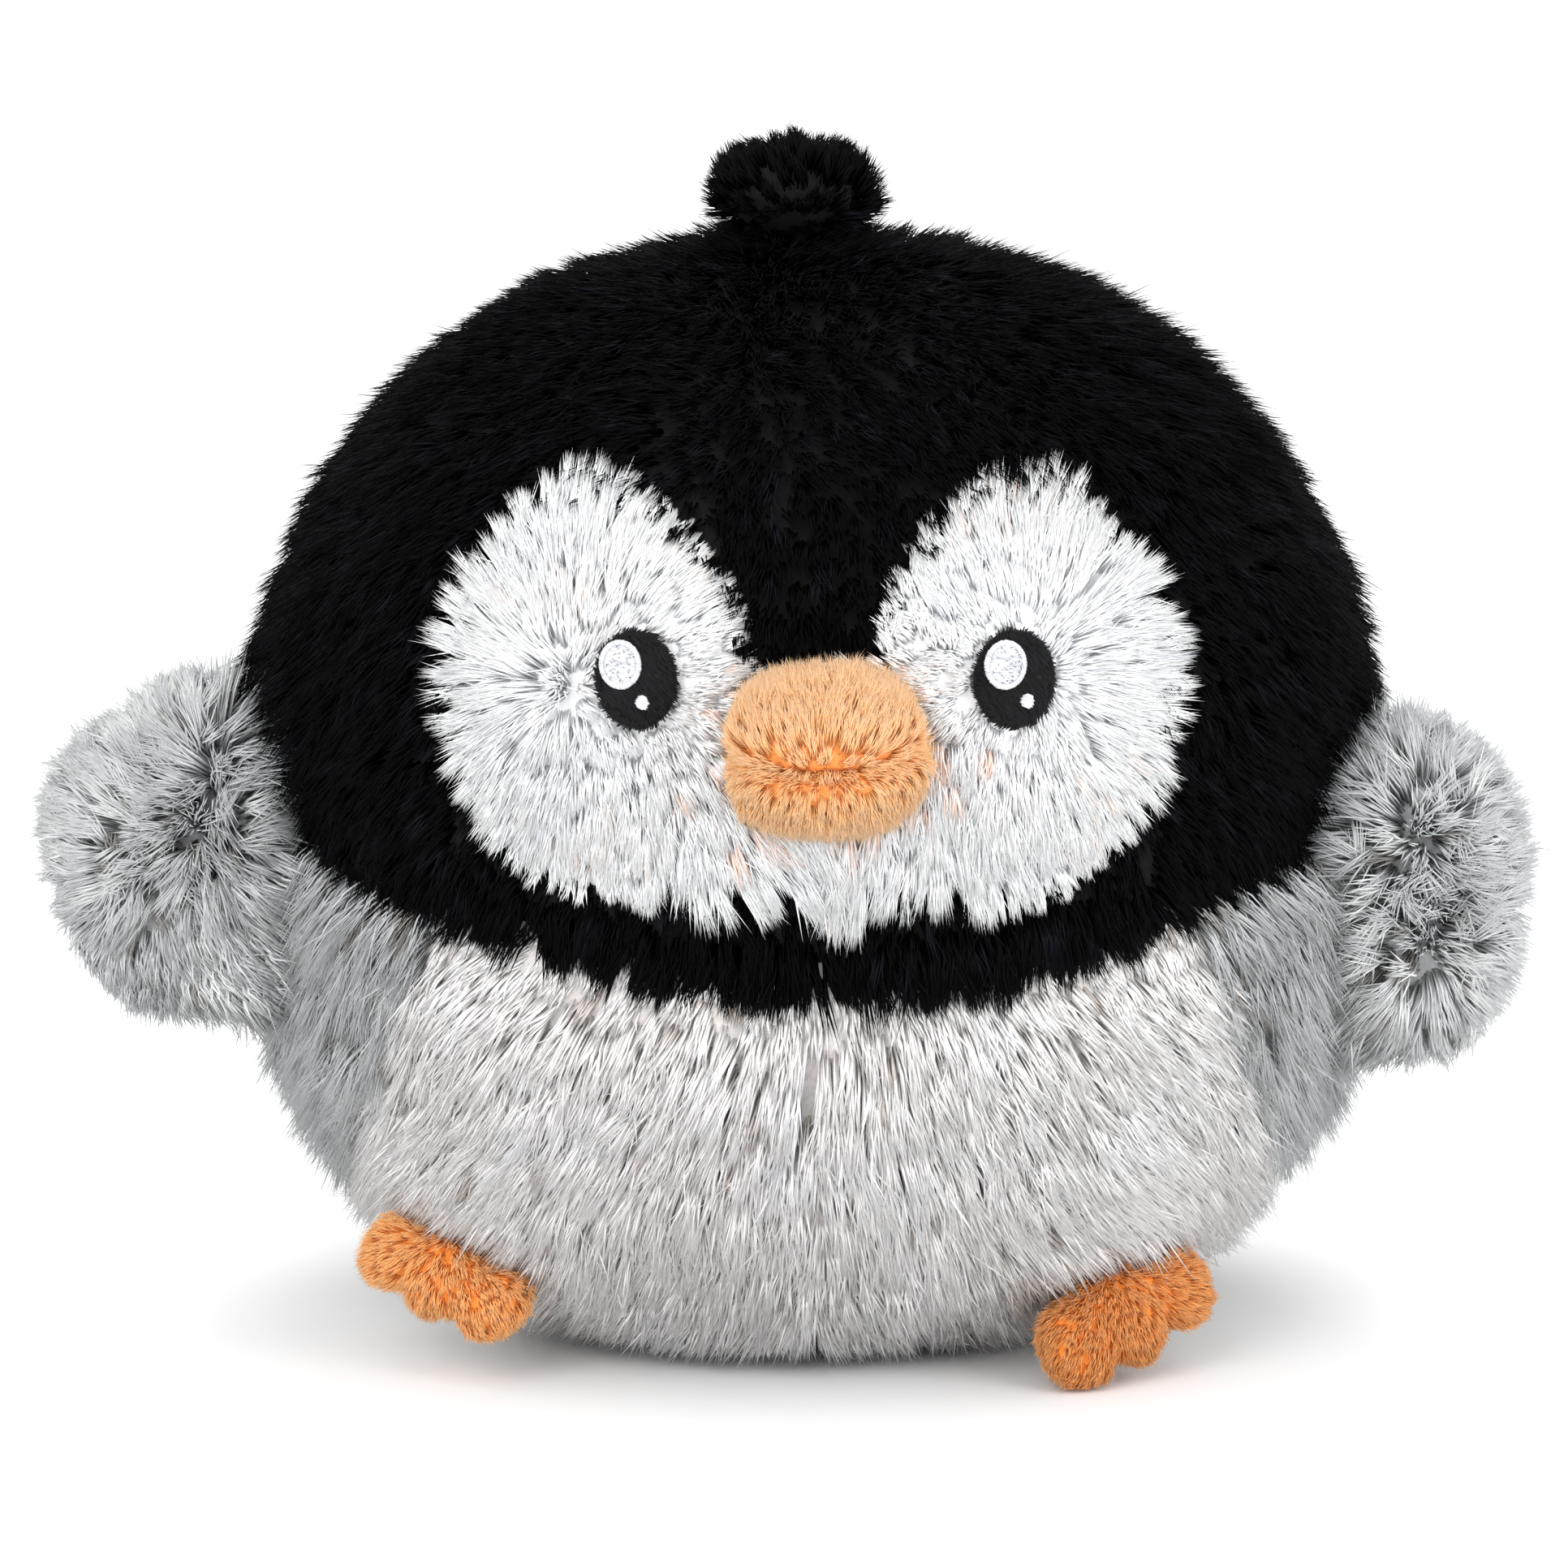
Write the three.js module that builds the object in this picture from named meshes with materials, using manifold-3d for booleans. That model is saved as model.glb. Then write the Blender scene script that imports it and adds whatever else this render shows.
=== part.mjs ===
// A round stuffed penguin. Units are millimetres and +Z is up. The penguin looks along -Y, and left
// and right are as seen from its front. The origin is the middle of the flat patch that it stands on.
// Every fabric panel is a thin shell around a stuffing core, cut along the seams of the real pattern.

import * as THREE from 'three';
import { mergeVertices } from 'three/addons/utils/BufferGeometryUtils.js';
import Module from 'manifold-3d';

const wasm = await Module();
wasm.setup();

// ---------------------------------------------------------------- driving dimensions

// The ball is a rounded egg: half a superellipsoid above its equator and half below it.
const BALL_HALF_WIDTH = 91;
const BALL_HALF_DEPTH = 84;
const BALL_TOP_Z = 180;
const EQUATOR_Z = 92;
const LOWER_HALF_HEIGHT = 94;
const ROUNDNESS_ABOVE = 2.15;
const ROUNDNESS_BELOW = 2.55;
const BALL_SEGMENTS = 32;
const BALL_ROWS_ABOVE = 7;
const BALL_ROWS_BELOW = 7;

const PANEL = 3;
const SMALL_PANEL = 1.5;
const GAP = 0.3;
const FAR = 300;

// Seams of the ball, as seen from the front
const HOOD_SEAM_SIDE_Z = 92.5;
const HOOD_SEAM_MIDDLE_Z = 72.5;
const HOOD_SEAM_REACH = 95;
const CROWN_SEAM_Y = -8;
const BELLY_HALF_WIDTH = 58;
const BELLY_SPREAD = 0.35;
const BELLY_TOP_Z = 80;
const BASE_SEAM_Z = 8;

// Face: two lobes joined by a chin, set slightly to one side
const FACE_X = 1.5;
const LOBE = { offset: 34, z: 113, halfWidth: 21, halfHeight: 29.5 };
const CHIN = { z: 100.5, halfWidth: 46, halfHeight: 16 };

const EYE = { offset: 28.5, z: 115.8, halfWidth: 6.3, halfHeight: 7.4, thickness: 1.2 };
const HIGHLIGHT = { dx: -1.9, dz: 2, halfWidth: 3.3, halfHeight: 3.7, thickness: 0.5 };
const GLINT = { dx: 1.4, dz: -3.4, halfWidth: 1, halfHeight: 1.1, thickness: 0.5 };

const BEAK_Y = -86;
const BEAK_UPPER = { z: 109, radii: [15.5, 20, 9.5] };
const BEAK_LOWER = { z: 101.5, radii: [13, 16.5, 7.5] };
const MOUTH_Z = 104.5;
const MOUTH_GAP = 1.4;
const MOUTH_THREAD = { share: 0.85, halfTurn: 75, step: 25 };
const THREAD_RADIUS = 0.4;

const CREST = { x: -2, y: -12, baseZ: 181, radii: [12.5, 10, 8] };

const WING_RADII = [13, 12, 26];
const WING_SEAM = { x: 93.4, y: -10, z: 82 };
const WING_ROOT = { length: 2.6, radius: 2.4, halfHeight: 5 };
const WING_FLAP_X = 5.2;
const WING_CLEARANCE = 0.5;
const WING_REST = {
  left: { drop: 8, sweep: 15 },
  right: { drop: 25, sweep: 20 },
};

const FOOT_REST = {
  left: { seam: [57.1, -46.9, 22.7], droop: 55 },
  right: { seam: [47.1, -50.1, 17.4], droop: 65 },
};
const FOOT_YAW = 33;
const FOOT_SLOPE = 20;
const TOES = [-10, 0, 10];
const TOE = { reach: 8.2, middleReach: 9.4, radii: [6.2, 7.2, 4.2] };
const INSTEP = { reach: 5.6, radii: [14.5, 5.6, 3.6] };

const CLOSING_STITCH = { fromZ: 26, toZ: 58, stitches: 7, swing: 1.6 };
const LABEL = { x: 24, z: 12, width: 12, length: 17, thickness: 0.5, tuck: 2, tilt: 15 };

const COLOUR = {
  black: 0x0c0c0e, white: 0xf2f0ec, belly: 0xd8d7d6, grey: 0xb2b4b3, orange: 0xe8934a,
  beak: 0xf0a661, fibre: 0xf4f2ee, thread: 0x1a1a1c, label: 0xf5f5f2,
};

// ---------------------------------------------------------------- solids and cuts

// A closed three.js geometry as a solid that can be cut and joined
function solidOf(geometry) {
  const bare = geometry.clone();
  bare.deleteAttribute('normal');
  bare.deleteAttribute('uv');
  const merged = mergeVertices(bare, 1e-4);
  const triVerts = Uint32Array.from(merged.index.array);
  const vertProperties = Float32Array.from(merged.attributes.position.array);
  return new wasm.Manifold(new wasm.Mesh({ numProp: 3, vertProperties, triVerts }));
}

function geometryOf(solid) {
  const mesh = solid.getMesh();
  const geometry = new THREE.BufferGeometry();
  geometry.setAttribute('position', new THREE.BufferAttribute(mesh.vertProperties, 3));
  geometry.setIndex(new THREE.BufferAttribute(mesh.triVerts, 1));
  geometry.computeVertexNormals();
  return geometry;
}

function join(solids) {
  return solids.reduce((whole, next) => whole.add(next));
}

function box(low, high) {
  const size = high.map((value, i) => value - low[i]);
  const geometry = new THREE.BoxGeometry(...size);
  geometry.translate(...low.map((value, i) => value + size[i] / 2));
  return solidOf(geometry);
}

// The half of space on one side of a plane across an axis (0, 1, 2 for X, Y, Z), half a seam away
function side(axis, place, sign, gap = GAP) {
  const low = [-FAR, -FAR, -FAR];
  const high = [FAR, FAR, FAR];
  if (sign > 0) {
    low[axis] = place + gap / 2;
  } else {
    high[axis] = place - gap / 2;
  }
  return box(low, high);
}

function ellipsoid(centre, radii, across = 16, rows = 8) {
  const geometry = new THREE.SphereGeometry(1, across, rows);
  geometry.scale(...radii);
  geometry.translate(...centre);
  return solidOf(geometry);
}

// An outline drawn in X and Z, pushed along Y from fromY towards the front
function frontPrism(shape, fromY, depth) {
  const geometry = new THREE.ExtrudeGeometry(shape, { depth, bevelEnabled: false, curveSegments: 12 });
  geometry.rotateX(Math.PI / 2);
  geometry.translate(0, fromY, 0);
  return solidOf(geometry);
}

function ellipsePrism(x, z, halfWidth, halfHeight) {
  const shape = new THREE.Shape();
  shape.absellipse(x, z, halfWidth, halfHeight, 0, 2 * Math.PI);
  return frontPrism(shape, 0, FAR);
}

// A thread of small round section along a list of points
function thread(points, radius, steps) {
  const section = new THREE.Shape();
  section.absarc(0, 0, radius, 0, 2 * Math.PI);
  const path = new THREE.CatmullRomCurve3(points.map((point) => new THREE.Vector3(...point)));
  const geometry = new THREE.ExtrudeGeometry(section, { steps, extrudePath: path, curveSegments: 4 });
  return solidOf(geometry);
}

// ---------------------------------------------------------------- the ball

// Half width of the ball, as a share of its widest, at a share of the half height from the equator
function narrowing(share, roundness) {
  return (1 - share ** roundness) ** (1 / roundness);
}

// Half width of the ball along X at height z, inset by that much all round
function ballHalfWidth(z, inset = 0) {
  const above = z >= EQUATOR_Z;
  const halfHeight = (above ? BALL_TOP_Z - EQUATOR_Z : LOWER_HALF_HEIGHT) - inset;
  const share = Math.min(Math.abs(z - EQUATOR_Z) / halfHeight, 1);
  return (BALL_HALF_WIDTH - inset) * narrowing(share, above ? ROUNDNESS_ABOVE : ROUNDNESS_BELOW);
}

function ballBackY(z, offset) {
  return (ballHalfWidth(z, -offset) * (BALL_HALF_DEPTH + offset)) / (BALL_HALF_WIDTH + offset);
}

// The solid ball, smaller by inset all round, with the flat patch under it
function ball(inset) {
  const bottomShare = (EQUATOR_Z - inset) / (LOWER_HALF_HEIGHT - inset);
  const steepest = Math.asin(bottomShare ** (ROUNDNESS_BELOW / 2));
  const profile = [new THREE.Vector2(0, inset)];
  for (let row = 0; row < BALL_ROWS_BELOW; row += 1) {
    const angle = steepest * (1 - row / BALL_ROWS_BELOW);
    const z = EQUATOR_Z - (LOWER_HALF_HEIGHT - inset) * Math.sin(angle) ** (2 / ROUNDNESS_BELOW);
    profile.push(new THREE.Vector2(ballHalfWidth(z, inset), z));
  }
  for (let row = 0; row < BALL_ROWS_ABOVE; row += 1) {
    const angle = (Math.PI / 2) * (row / BALL_ROWS_ABOVE);
    const rise = (BALL_TOP_Z - EQUATOR_Z - inset) * Math.sin(angle) ** (2 / ROUNDNESS_ABOVE);
    profile.push(new THREE.Vector2(ballHalfWidth(EQUATOR_Z + rise, inset), EQUATOR_Z + rise));
  }
  profile.push(new THREE.Vector2(0, BALL_TOP_Z - inset));
  const geometry = new THREE.LatheGeometry(profile, BALL_SEGMENTS);
  geometry.rotateX(Math.PI / 2);
  geometry.scale(1, (BALL_HALF_DEPTH - inset) / (BALL_HALF_WIDTH - inset), 1);
  return solidOf(geometry);
}

// Everything above the hood's lower seam (sign 1) or below it (sign -1), half a seam away.
// The seam dips in the middle of the front and of the back.
function hoodSide(sign) {
  const shift = (sign * GAP) / 2;
  const shape = new THREE.Shape();
  shape.moveTo(-HOOD_SEAM_REACH, HOOD_SEAM_SIDE_Z + shift);
  const controlZ = 2 * HOOD_SEAM_MIDDLE_Z - HOOD_SEAM_SIDE_Z + shift;
  shape.quadraticCurveTo(0, controlZ, HOOD_SEAM_REACH, HOOD_SEAM_SIDE_Z + shift);
  shape.lineTo(HOOD_SEAM_REACH, EQUATOR_Z + sign * FAR);
  shape.lineTo(-HOOD_SEAM_REACH, EQUATOR_Z + sign * FAR);
  shape.closePath();
  return frontPrism(shape, FAR, 2 * FAR);
}

// The front between the two side seams, which lean outwards as they go down
function bellySide(grow) {
  const halfAt = (z) => BELLY_HALF_WIDTH + BELLY_SPREAD * (BELLY_TOP_Z - z) + grow;
  const shape = new THREE.Shape();
  shape.moveTo(-halfAt(FAR / 2), FAR / 2);
  shape.lineTo(-halfAt(-FAR / 2), -FAR / 2);
  shape.lineTo(halfAt(-FAR / 2), -FAR / 2);
  shape.lineTo(halfAt(FAR / 2), FAR / 2);
  shape.closePath();
  return frontPrism(shape, grow, FAR);
}

function faceOutline(grow) {
  const lobes = [-1, 1].map((sign) => ellipsePrism(
    FACE_X + sign * LOBE.offset, LOBE.z, LOBE.halfWidth + grow, LOBE.halfHeight + grow,
  ));
  const chin = ellipsePrism(FACE_X, CHIN.z, CHIN.halfWidth + grow, CHIN.halfHeight + grow);
  return join([...lobes, chin]);
}

function ballPieces() {
  const skin = ball(0).subtract(ball(PANEL));
  const hood = skin.intersect(hoodSide(1));
  const hoodBack = hood.intersect(side(1, CROWN_SEAM_Y, 1));
  const lower = skin.intersect(hoodSide(-1)).intersect(side(2, BASE_SEAM_Z, 1));
  const lowerBack = lower.subtract(bellySide(GAP / 2));
  return {
    hood_front_panel: [
      hood.intersect(side(1, CROWN_SEAM_Y, -1)).subtract(faceOutline(GAP)), COLOUR.black],
    hood_back_left_panel: [hoodBack.intersect(side(0, 0, -1)), COLOUR.black],
    hood_back_right_panel: [hoodBack.intersect(side(0, 0, 1)), COLOUR.black],
    face_panel: [skin.intersect(faceOutline(0)), COLOUR.white],
    belly_panel: [lower.intersect(bellySide(-GAP / 2)), COLOUR.belly],
    back_left_panel: [lowerBack.intersect(side(0, 0, -1)), COLOUR.grey],
    back_right_panel: [lowerBack.intersect(side(0, 0, 1)), COLOUR.grey],
    base_panel: [skin.intersect(side(2, BASE_SEAM_Z, -1)), COLOUR.grey],
    body_stuffing: [ball(PANEL + GAP), COLOUR.fibre],
  };
}

// ---------------------------------------------------------------- face pieces

// A layer of embroidery that lies on the ball, from one height above it to another
function embroidery(x, z, halfWidth, halfHeight, fromHeight, thickness) {
  const layer = ball(-fromHeight - thickness).subtract(ball(-fromHeight));
  return layer.intersect(ellipsePrism(x, z, halfWidth, halfHeight));
}

function eyePieces(name, sign) {
  const x = FACE_X + sign * EYE.offset;
  const upper = GAP + EYE.thickness + GAP;
  const dot = (mark) => embroidery(
    x + mark.dx, EYE.z + mark.dz, mark.halfWidth, mark.halfHeight, upper, mark.thickness,
  );
  return {
    [`${name}_eye_patch`]: [
      embroidery(x, EYE.z, EYE.halfWidth, EYE.halfHeight, GAP, EYE.thickness), COLOUR.black],
    [`${name}_eye_highlight`]: [dot(HIGHLIGHT), COLOUR.white],
    [`${name}_eye_glint`]: [dot(GLINT), COLOUR.white],
  };
}

function beakLobe(lobe, inset) {
  const radii = lobe.radii.map((radius) => radius - inset);
  return ellipsoid([FACE_X, BEAK_Y, lobe.z], radii, 18, 10);
}

function beakPieces() {
  const head = ball(-GAP);
  const half = (lobe, sign) => beakLobe(lobe, 0)
    .subtract(beakLobe(lobe, SMALL_PANEL))
    .intersect(side(2, MOUTH_Z, sign, MOUTH_GAP))
    .subtract(head);
  const inset = SMALL_PANEL + GAP;
  const mouth = [];
  const { share, halfTurn, step } = MOUTH_THREAD;
  for (let degrees = -halfTurn; degrees <= halfTurn; degrees += step) {
    const angle = THREE.MathUtils.degToRad(degrees);
    mouth.push([
      FACE_X + share * BEAK_UPPER.radii[0] * Math.sin(angle),
      BEAK_Y - share * BEAK_UPPER.radii[1] * Math.cos(angle),
      MOUTH_Z,
    ]);
  }
  return {
    beak_upper: [half(BEAK_UPPER, 1), COLOUR.beak],
    beak_lower: [half(BEAK_LOWER, -1), COLOUR.beak],
    beak_stuffing: [
      join([beakLobe(BEAK_UPPER, inset), beakLobe(BEAK_LOWER, inset)]).subtract(head), COLOUR.fibre],
    mouth_stitch: [thread(mouth, THREAD_RADIUS, 16), COLOUR.orange],
  };
}

// ---------------------------------------------------------------- crest, wings and feet

// Two half shells and a core from a solid that takes an inset, parted across an axis of its own
function stuffed(solid, names, axis, place, colour) {
  const shell = solid(0).subtract(solid(SMALL_PANEL));
  return {
    [names[0]]: [shell.intersect(side(axis, place, -1)), colour],
    [names[1]]: [shell.intersect(side(axis, place, 1)), colour],
    [names[2]]: [solid(SMALL_PANEL + GAP), COLOUR.fibre],
  };
}

function crestPieces() {
  const centre = [CREST.x, CREST.y, CREST.baseZ + CREST.radii[2]];
  const solid = (inset) => ellipsoid(centre, CREST.radii.map((radius) => radius - inset));
  const names = ['crest_front_panel', 'crest_back_panel', 'crest_stuffing'];
  return stuffed(solid, names, 1, CREST.y, COLOUR.black);
}

// The flat sewn root: a rounded strip that stands upright, from the seam outwards along +X
function wingRootPiece() {
  const { length, radius, halfHeight } = WING_ROOT;
  const plan = new THREE.Shape();
  plan.absarc(0, 0, radius, Math.PI / 2, 1.5 * Math.PI);
  plan.lineTo(length, -radius);
  plan.lineTo(length, radius);
  plan.closePath();
  const options = { depth: 2 * halfHeight, bevelEnabled: false, curveSegments: 8 };
  const geometry = new THREE.ExtrudeGeometry(plan, options);
  geometry.translate(0, 0, -halfHeight);
  return solidOf(geometry);
}

// The paddle, from its root outwards along +X
function wingPieces(name) {
  const centre = [WING_CLEARANCE + WING_RADII[0], 0, 0];
  const solid = (inset) => ellipsoid(centre, WING_RADII.map((radius) => radius - inset), 16, 10);
  const names = [`${name}_wing_front_panel`, `${name}_wing_back_panel`, `${name}_wing_stuffing`];
  return stuffed(solid, names, 1, 0, COLOUR.grey);
}

// The foot lies flat in X and Y, with its root on the X axis and its toes towards +Y
function footPieces(name) {
  const solid = (inset) => join([
    ...TOES.map((x) => {
      const reach = x === 0 ? TOE.middleReach : TOE.reach;
      return ellipsoid([x, reach, 0], TOE.radii.map((radius) => radius - inset), 12, 6);
    }),
    ellipsoid([0, INSTEP.reach, 0], INSTEP.radii.map((radius) => radius - inset), 14, 6),
  ]);
  const names = [`${name}_foot_sole_panel`, `${name}_foot_top_panel`, `${name}_foot_stuffing`];
  return stuffed(solid, names, 2, 0, COLOUR.orange);
}

// ---------------------------------------------------------------- small trim at the back

// A ladder stitch that zigzags up the back seam, on the fabric
function closingStitch() {
  const points = [];
  const { fromZ, toZ, stitches, swing } = CLOSING_STITCH;
  for (let i = 0; i <= stitches; i += 1) {
    const z = fromZ + ((toZ - fromZ) * i) / stitches;
    points.push([i % 2 ? swing : -swing, ballBackY(z, GAP + 2 * THREAD_RADIUS), z]);
  }
  return thread(points, THREAD_RADIUS, 3 * stitches);
}

// A blank fabric label that hangs from the base seam at the back
function careLabel() {
  const seamY = ballBackY(LABEL.z, 1) * Math.sqrt(1 - (LABEL.x / ballHalfWidth(LABEL.z, -1)) ** 2);
  const geometry = new THREE.BoxGeometry(LABEL.width, LABEL.length, LABEL.thickness);
  geometry.translate(0, LABEL.length / 2 + LABEL.tuck, 0);
  geometry.rotateX(THREE.MathUtils.degToRad(-LABEL.tilt));
  geometry.translate(LABEL.x, seamY, LABEL.z);
  return solidOf(geometry);
}

// ---------------------------------------------------------------- the scene

function addPieces(group, pieces) {
  for (const [name, [solid, colour]] of Object.entries(pieces)) {
    const material = new THREE.MeshStandardMaterial({ color: colour, roughness: 0.95, metalness: 0 });
    const mesh = new THREE.Mesh(geometryOf(solid), material);
    mesh.name = name;
    group.add(mesh);
  }
}

function wing(name, sign) {
  const rest = WING_REST[name];
  const root = new THREE.Group();
  root.position.set(sign * WING_SEAM.x, WING_SEAM.y, WING_SEAM.z);
  const outwards = sign > 0 ? 0 : Math.PI;
  root.rotation.z = outwards - sign * THREE.MathUtils.degToRad(rest.sweep);
  addPieces(root, { [`${name}_wing_root`]: [wingRootPiece(), COLOUR.grey] });
  const paddle = new THREE.Group();
  paddle.position.x = WING_FLAP_X;
  paddle.rotation.y = THREE.MathUtils.degToRad(rest.drop);
  addPieces(paddle, wingPieces(name));
  root.add(paddle);
  return root;
}

function foot(name, sign) {
  const { seam, droop } = FOOT_REST[name];
  const group = new THREE.Group();
  group.position.set(sign * seam[0], seam[1], seam[2]);
  group.rotation.order = 'ZYX';
  group.rotation.z = Math.PI + sign * THREE.MathUtils.degToRad(FOOT_YAW);
  group.rotation.y = sign * THREE.MathUtils.degToRad(FOOT_SLOPE);
  group.rotation.x = THREE.MathUtils.degToRad(-droop);
  addPieces(group, footPieces(name));
  return group;
}

const penguin = new THREE.Group();
addPieces(penguin, ballPieces());
addPieces(penguin, beakPieces());
addPieces(penguin, crestPieces());
for (const [name, sign] of [['left', -1], ['right', 1]]) {
  addPieces(penguin, eyePieces(name, sign));
  penguin.add(wing(name, sign));
  penguin.add(foot(name, sign));
}
addPieces(penguin, {
  closing_stitch: [closingStitch(), COLOUR.thread],
  care_label: [careLabel(), COLOUR.label],
});

export default penguin;
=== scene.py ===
import math

import bmesh
import bpy
import numpy as np
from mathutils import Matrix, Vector
from mathutils.bvhtree import BVHTree


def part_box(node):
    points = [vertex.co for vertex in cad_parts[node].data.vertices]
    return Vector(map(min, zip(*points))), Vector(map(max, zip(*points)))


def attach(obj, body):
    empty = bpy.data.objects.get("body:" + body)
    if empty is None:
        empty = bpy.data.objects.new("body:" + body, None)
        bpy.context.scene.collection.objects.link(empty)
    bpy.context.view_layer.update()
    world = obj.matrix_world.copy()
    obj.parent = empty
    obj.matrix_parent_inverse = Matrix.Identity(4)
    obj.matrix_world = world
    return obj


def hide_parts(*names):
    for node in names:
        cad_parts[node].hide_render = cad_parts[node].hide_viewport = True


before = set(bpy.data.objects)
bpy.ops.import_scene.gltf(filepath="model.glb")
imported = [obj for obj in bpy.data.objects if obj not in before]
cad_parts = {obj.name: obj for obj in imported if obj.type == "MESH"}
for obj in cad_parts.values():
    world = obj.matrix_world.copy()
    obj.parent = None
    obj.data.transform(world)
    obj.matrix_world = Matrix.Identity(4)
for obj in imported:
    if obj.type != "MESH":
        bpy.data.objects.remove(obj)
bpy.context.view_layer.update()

MM = 0.001

# ---------------- the ball, as the frame states it
HALF_W, HALF_D = 91.0, 84.0
TOP_Z, EQUATOR_Z, LOWER_H = 180.0, 92.0, 94.0
ROUND_UP, ROUND_LOW = 2.15, 2.55
SEAM_MID_Z, SEAM_RISE, SEAM_HALF = 72.5, 20.0, 95.0
WEDGE_HALF, WEDGE_Z, WEDGE_SLOPE = 58.0, 80.0, 0.35
BASE_Z, CROWN_Y = 8.0, -8.0
FACE_X, LOBE_X, LOBE_Z, LOBE_RX, LOBE_RZ = 1.5, 34.0, 113.0, 21.0, 29.5
CHIN_Z, CHIN_RX, CHIN_RZ = 100.5, 46.0, 16.0
EYE_X, EYE_Z, EYE_RX, EYE_RZ = 28.5, 115.8, 6.3, 7.4
BEAK_X, BEAK_Y, MOUTH_Z = 1.5, -86.0, 104.5


def unit(v):
    """v with every row scaled to length 1."""
    return v / np.maximum(np.linalg.norm(v, axis=-1, keepdims=True), 1e-9)


def dots(a, b):
    """Row-by-row dot product, kept as a column."""
    return (a * b).sum(-1, keepdims=True)


def ease(x, lo, hi):
    """0 before lo, 1 after hi, smooth between."""
    t = np.clip((x - lo) / (hi - lo), 0.0, 1.0)
    return t * t * (3 - 2 * t)


def noise(p, wave, seed):
    """Smooth noise of about -1 to 1 over points p, with features about wave across."""
    rng = np.random.default_rng(seed)
    total = np.zeros(len(p))
    for _ in range(9):
        k = unit(rng.normal(size=3)) * 2 * math.pi / (wave * rng.uniform(1.2, 3.0))
        total += np.sin(p @ k + rng.uniform(0, 2 * math.pi))
    return total / 3.2


def vectors(x, y, z):
    """x, y and z, each an array or one number, as the columns of one array."""
    return np.stack(np.broadcast_arrays(x, y, z), -1)


def roundness(up):
    """The height and the exponent of the ball's outline, above and below its equator."""
    return np.where(up, TOP_Z - EQUATOR_Z, LOWER_H), np.where(up, ROUND_UP, ROUND_LOW)


def half_width(z):
    """Half the ball's width at height z."""
    h, n = roundness(z > EQUATOR_Z)
    share = np.clip(np.abs(z - EQUATOR_Z) / h, 0, 1)
    return HALF_W * (1 - share**n) ** (1 / n)


def front_point(x, z):
    """Points of the ball's front at x, z, and the normals there."""
    x, z = np.broadcast_arrays(np.asarray(x, float), np.asarray(z, float))

    def at(x, z):
        w = half_width(z)
        y = -w * HALF_D / HALF_W * np.sqrt(np.maximum(1 - (x / w) ** 2, 0))
        return vectors(x, y, z)

    step = 0.05
    p = at(x, z)
    n = np.cross(at(x + step, z) - at(x - step, z), at(x, z + step) - at(x, z - step))
    return p, unit(n)


# Signed distances, in mm, to the pattern's seams: above 0 is inside the named area.
def in_hood(p):
    return p[:, 2] - SEAM_MID_Z - SEAM_RISE * np.clip(p[:, 0] / SEAM_HALF, -1, 1) ** 2


def in_face(p):
    x, z = p[:, 0] - FACE_X, p[:, 2]
    found = np.full(len(p), -99.0)
    for cx, cz, rx, rz in (
        (-LOBE_X, LOBE_Z, LOBE_RX, LOBE_RZ),
        (LOBE_X - 4.3, LOBE_Z, LOBE_RX + 0.3, LOBE_RZ),
        (0.0, CHIN_Z + 1.0, CHIN_RX - 4.0, CHIN_RZ),
    ):
        q = np.sqrt(((x - cx) / rx) ** 2 + ((z - cz) / rz) ** 2)
        found = np.maximum(found, (1 - q) * min(rx, rz))
    return np.where(p[:, 1] < 0, found, -99.0)


def in_wedge(p):
    x, y, z = p.T
    return np.where(y < 0, WEDGE_HALF + WEDGE_SLOPE * (WEDGE_Z - z) - np.abs(x), -99.0)


def in_base(p):
    return BASE_Z - p[:, 2]


PANEL_PILE = {
    "hood_front": "black_pile", "hood_back_left": "black_pile", "hood_back_right": "black_pile",
    "face": "white_pile", "belly": "light_grey_pile",
    "back_left": "grey_pile", "back_right": "grey_pile", "base": "grey_pile",
}
PANELS = list(PANEL_PILE)
HOOD_FRONT, HOOD_BACK_LEFT, HOOD_BACK_RIGHT, FACE, BELLY, BACK_LEFT, BACK_RIGHT, BASE = range(8)


def panel_of(p):
    """The number in PANELS of the pattern piece that each point of the ball is on."""
    left = p[:, 0] < 0
    number = np.where(left, BACK_LEFT, BACK_RIGHT)
    number[in_wedge(p) > 0] = BELLY
    number[in_base(p) > 0] = BASE
    hood = in_hood(p) > 0
    back = np.where(left[hood], HOOD_BACK_LEFT, HOOD_BACK_RIGHT)
    number[hood] = np.where(p[hood, 1] < CROWN_Y, HOOD_FRONT, back)
    number[in_face(p) > 0] = FACE
    return number


# ---------------- materials
M = {}


def rgb(r, g, b):
    """Screen colour, 0 to 255, as linear RGBA."""
    shares = (r / 255, g / 255, b / 255)
    return tuple(c / 12.92 if c <= 0.04045 else ((c + 0.055) / 1.055) ** 2.4 for c in shares) + (1.0,)


def even(k):
    """A neutral tone, in linear RGBA."""
    return (k, k, k, 1.0)


def new_material(name, rough, specular):
    """A material, kept in M under its name: its node tree and its shader."""
    mat = M[name] = bpy.data.materials.new(name)
    mat.use_nodes = True
    shader = mat.node_tree.nodes["Principled BSDF"]
    shader.inputs["Roughness"].default_value = rough
    shader.inputs["Specular IOR Level"].default_value = specular
    return mat.node_tree, shader


def ramp(tree, stops, source):
    node = tree.nodes.new("ShaderNodeValToRGB")
    node.color_ramp.interpolation = "EASE" if len(stops) < 3 else "LINEAR"
    while len(node.color_ramp.elements) < len(stops):
        node.color_ramp.elements.new(0.5)
    for element, (at, colour) in zip(node.color_ramp.elements, stops):
        element.position = at
        element.color = colour
    tree.links.new(source, node.inputs["Fac"])
    return node.outputs["Color"]


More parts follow.
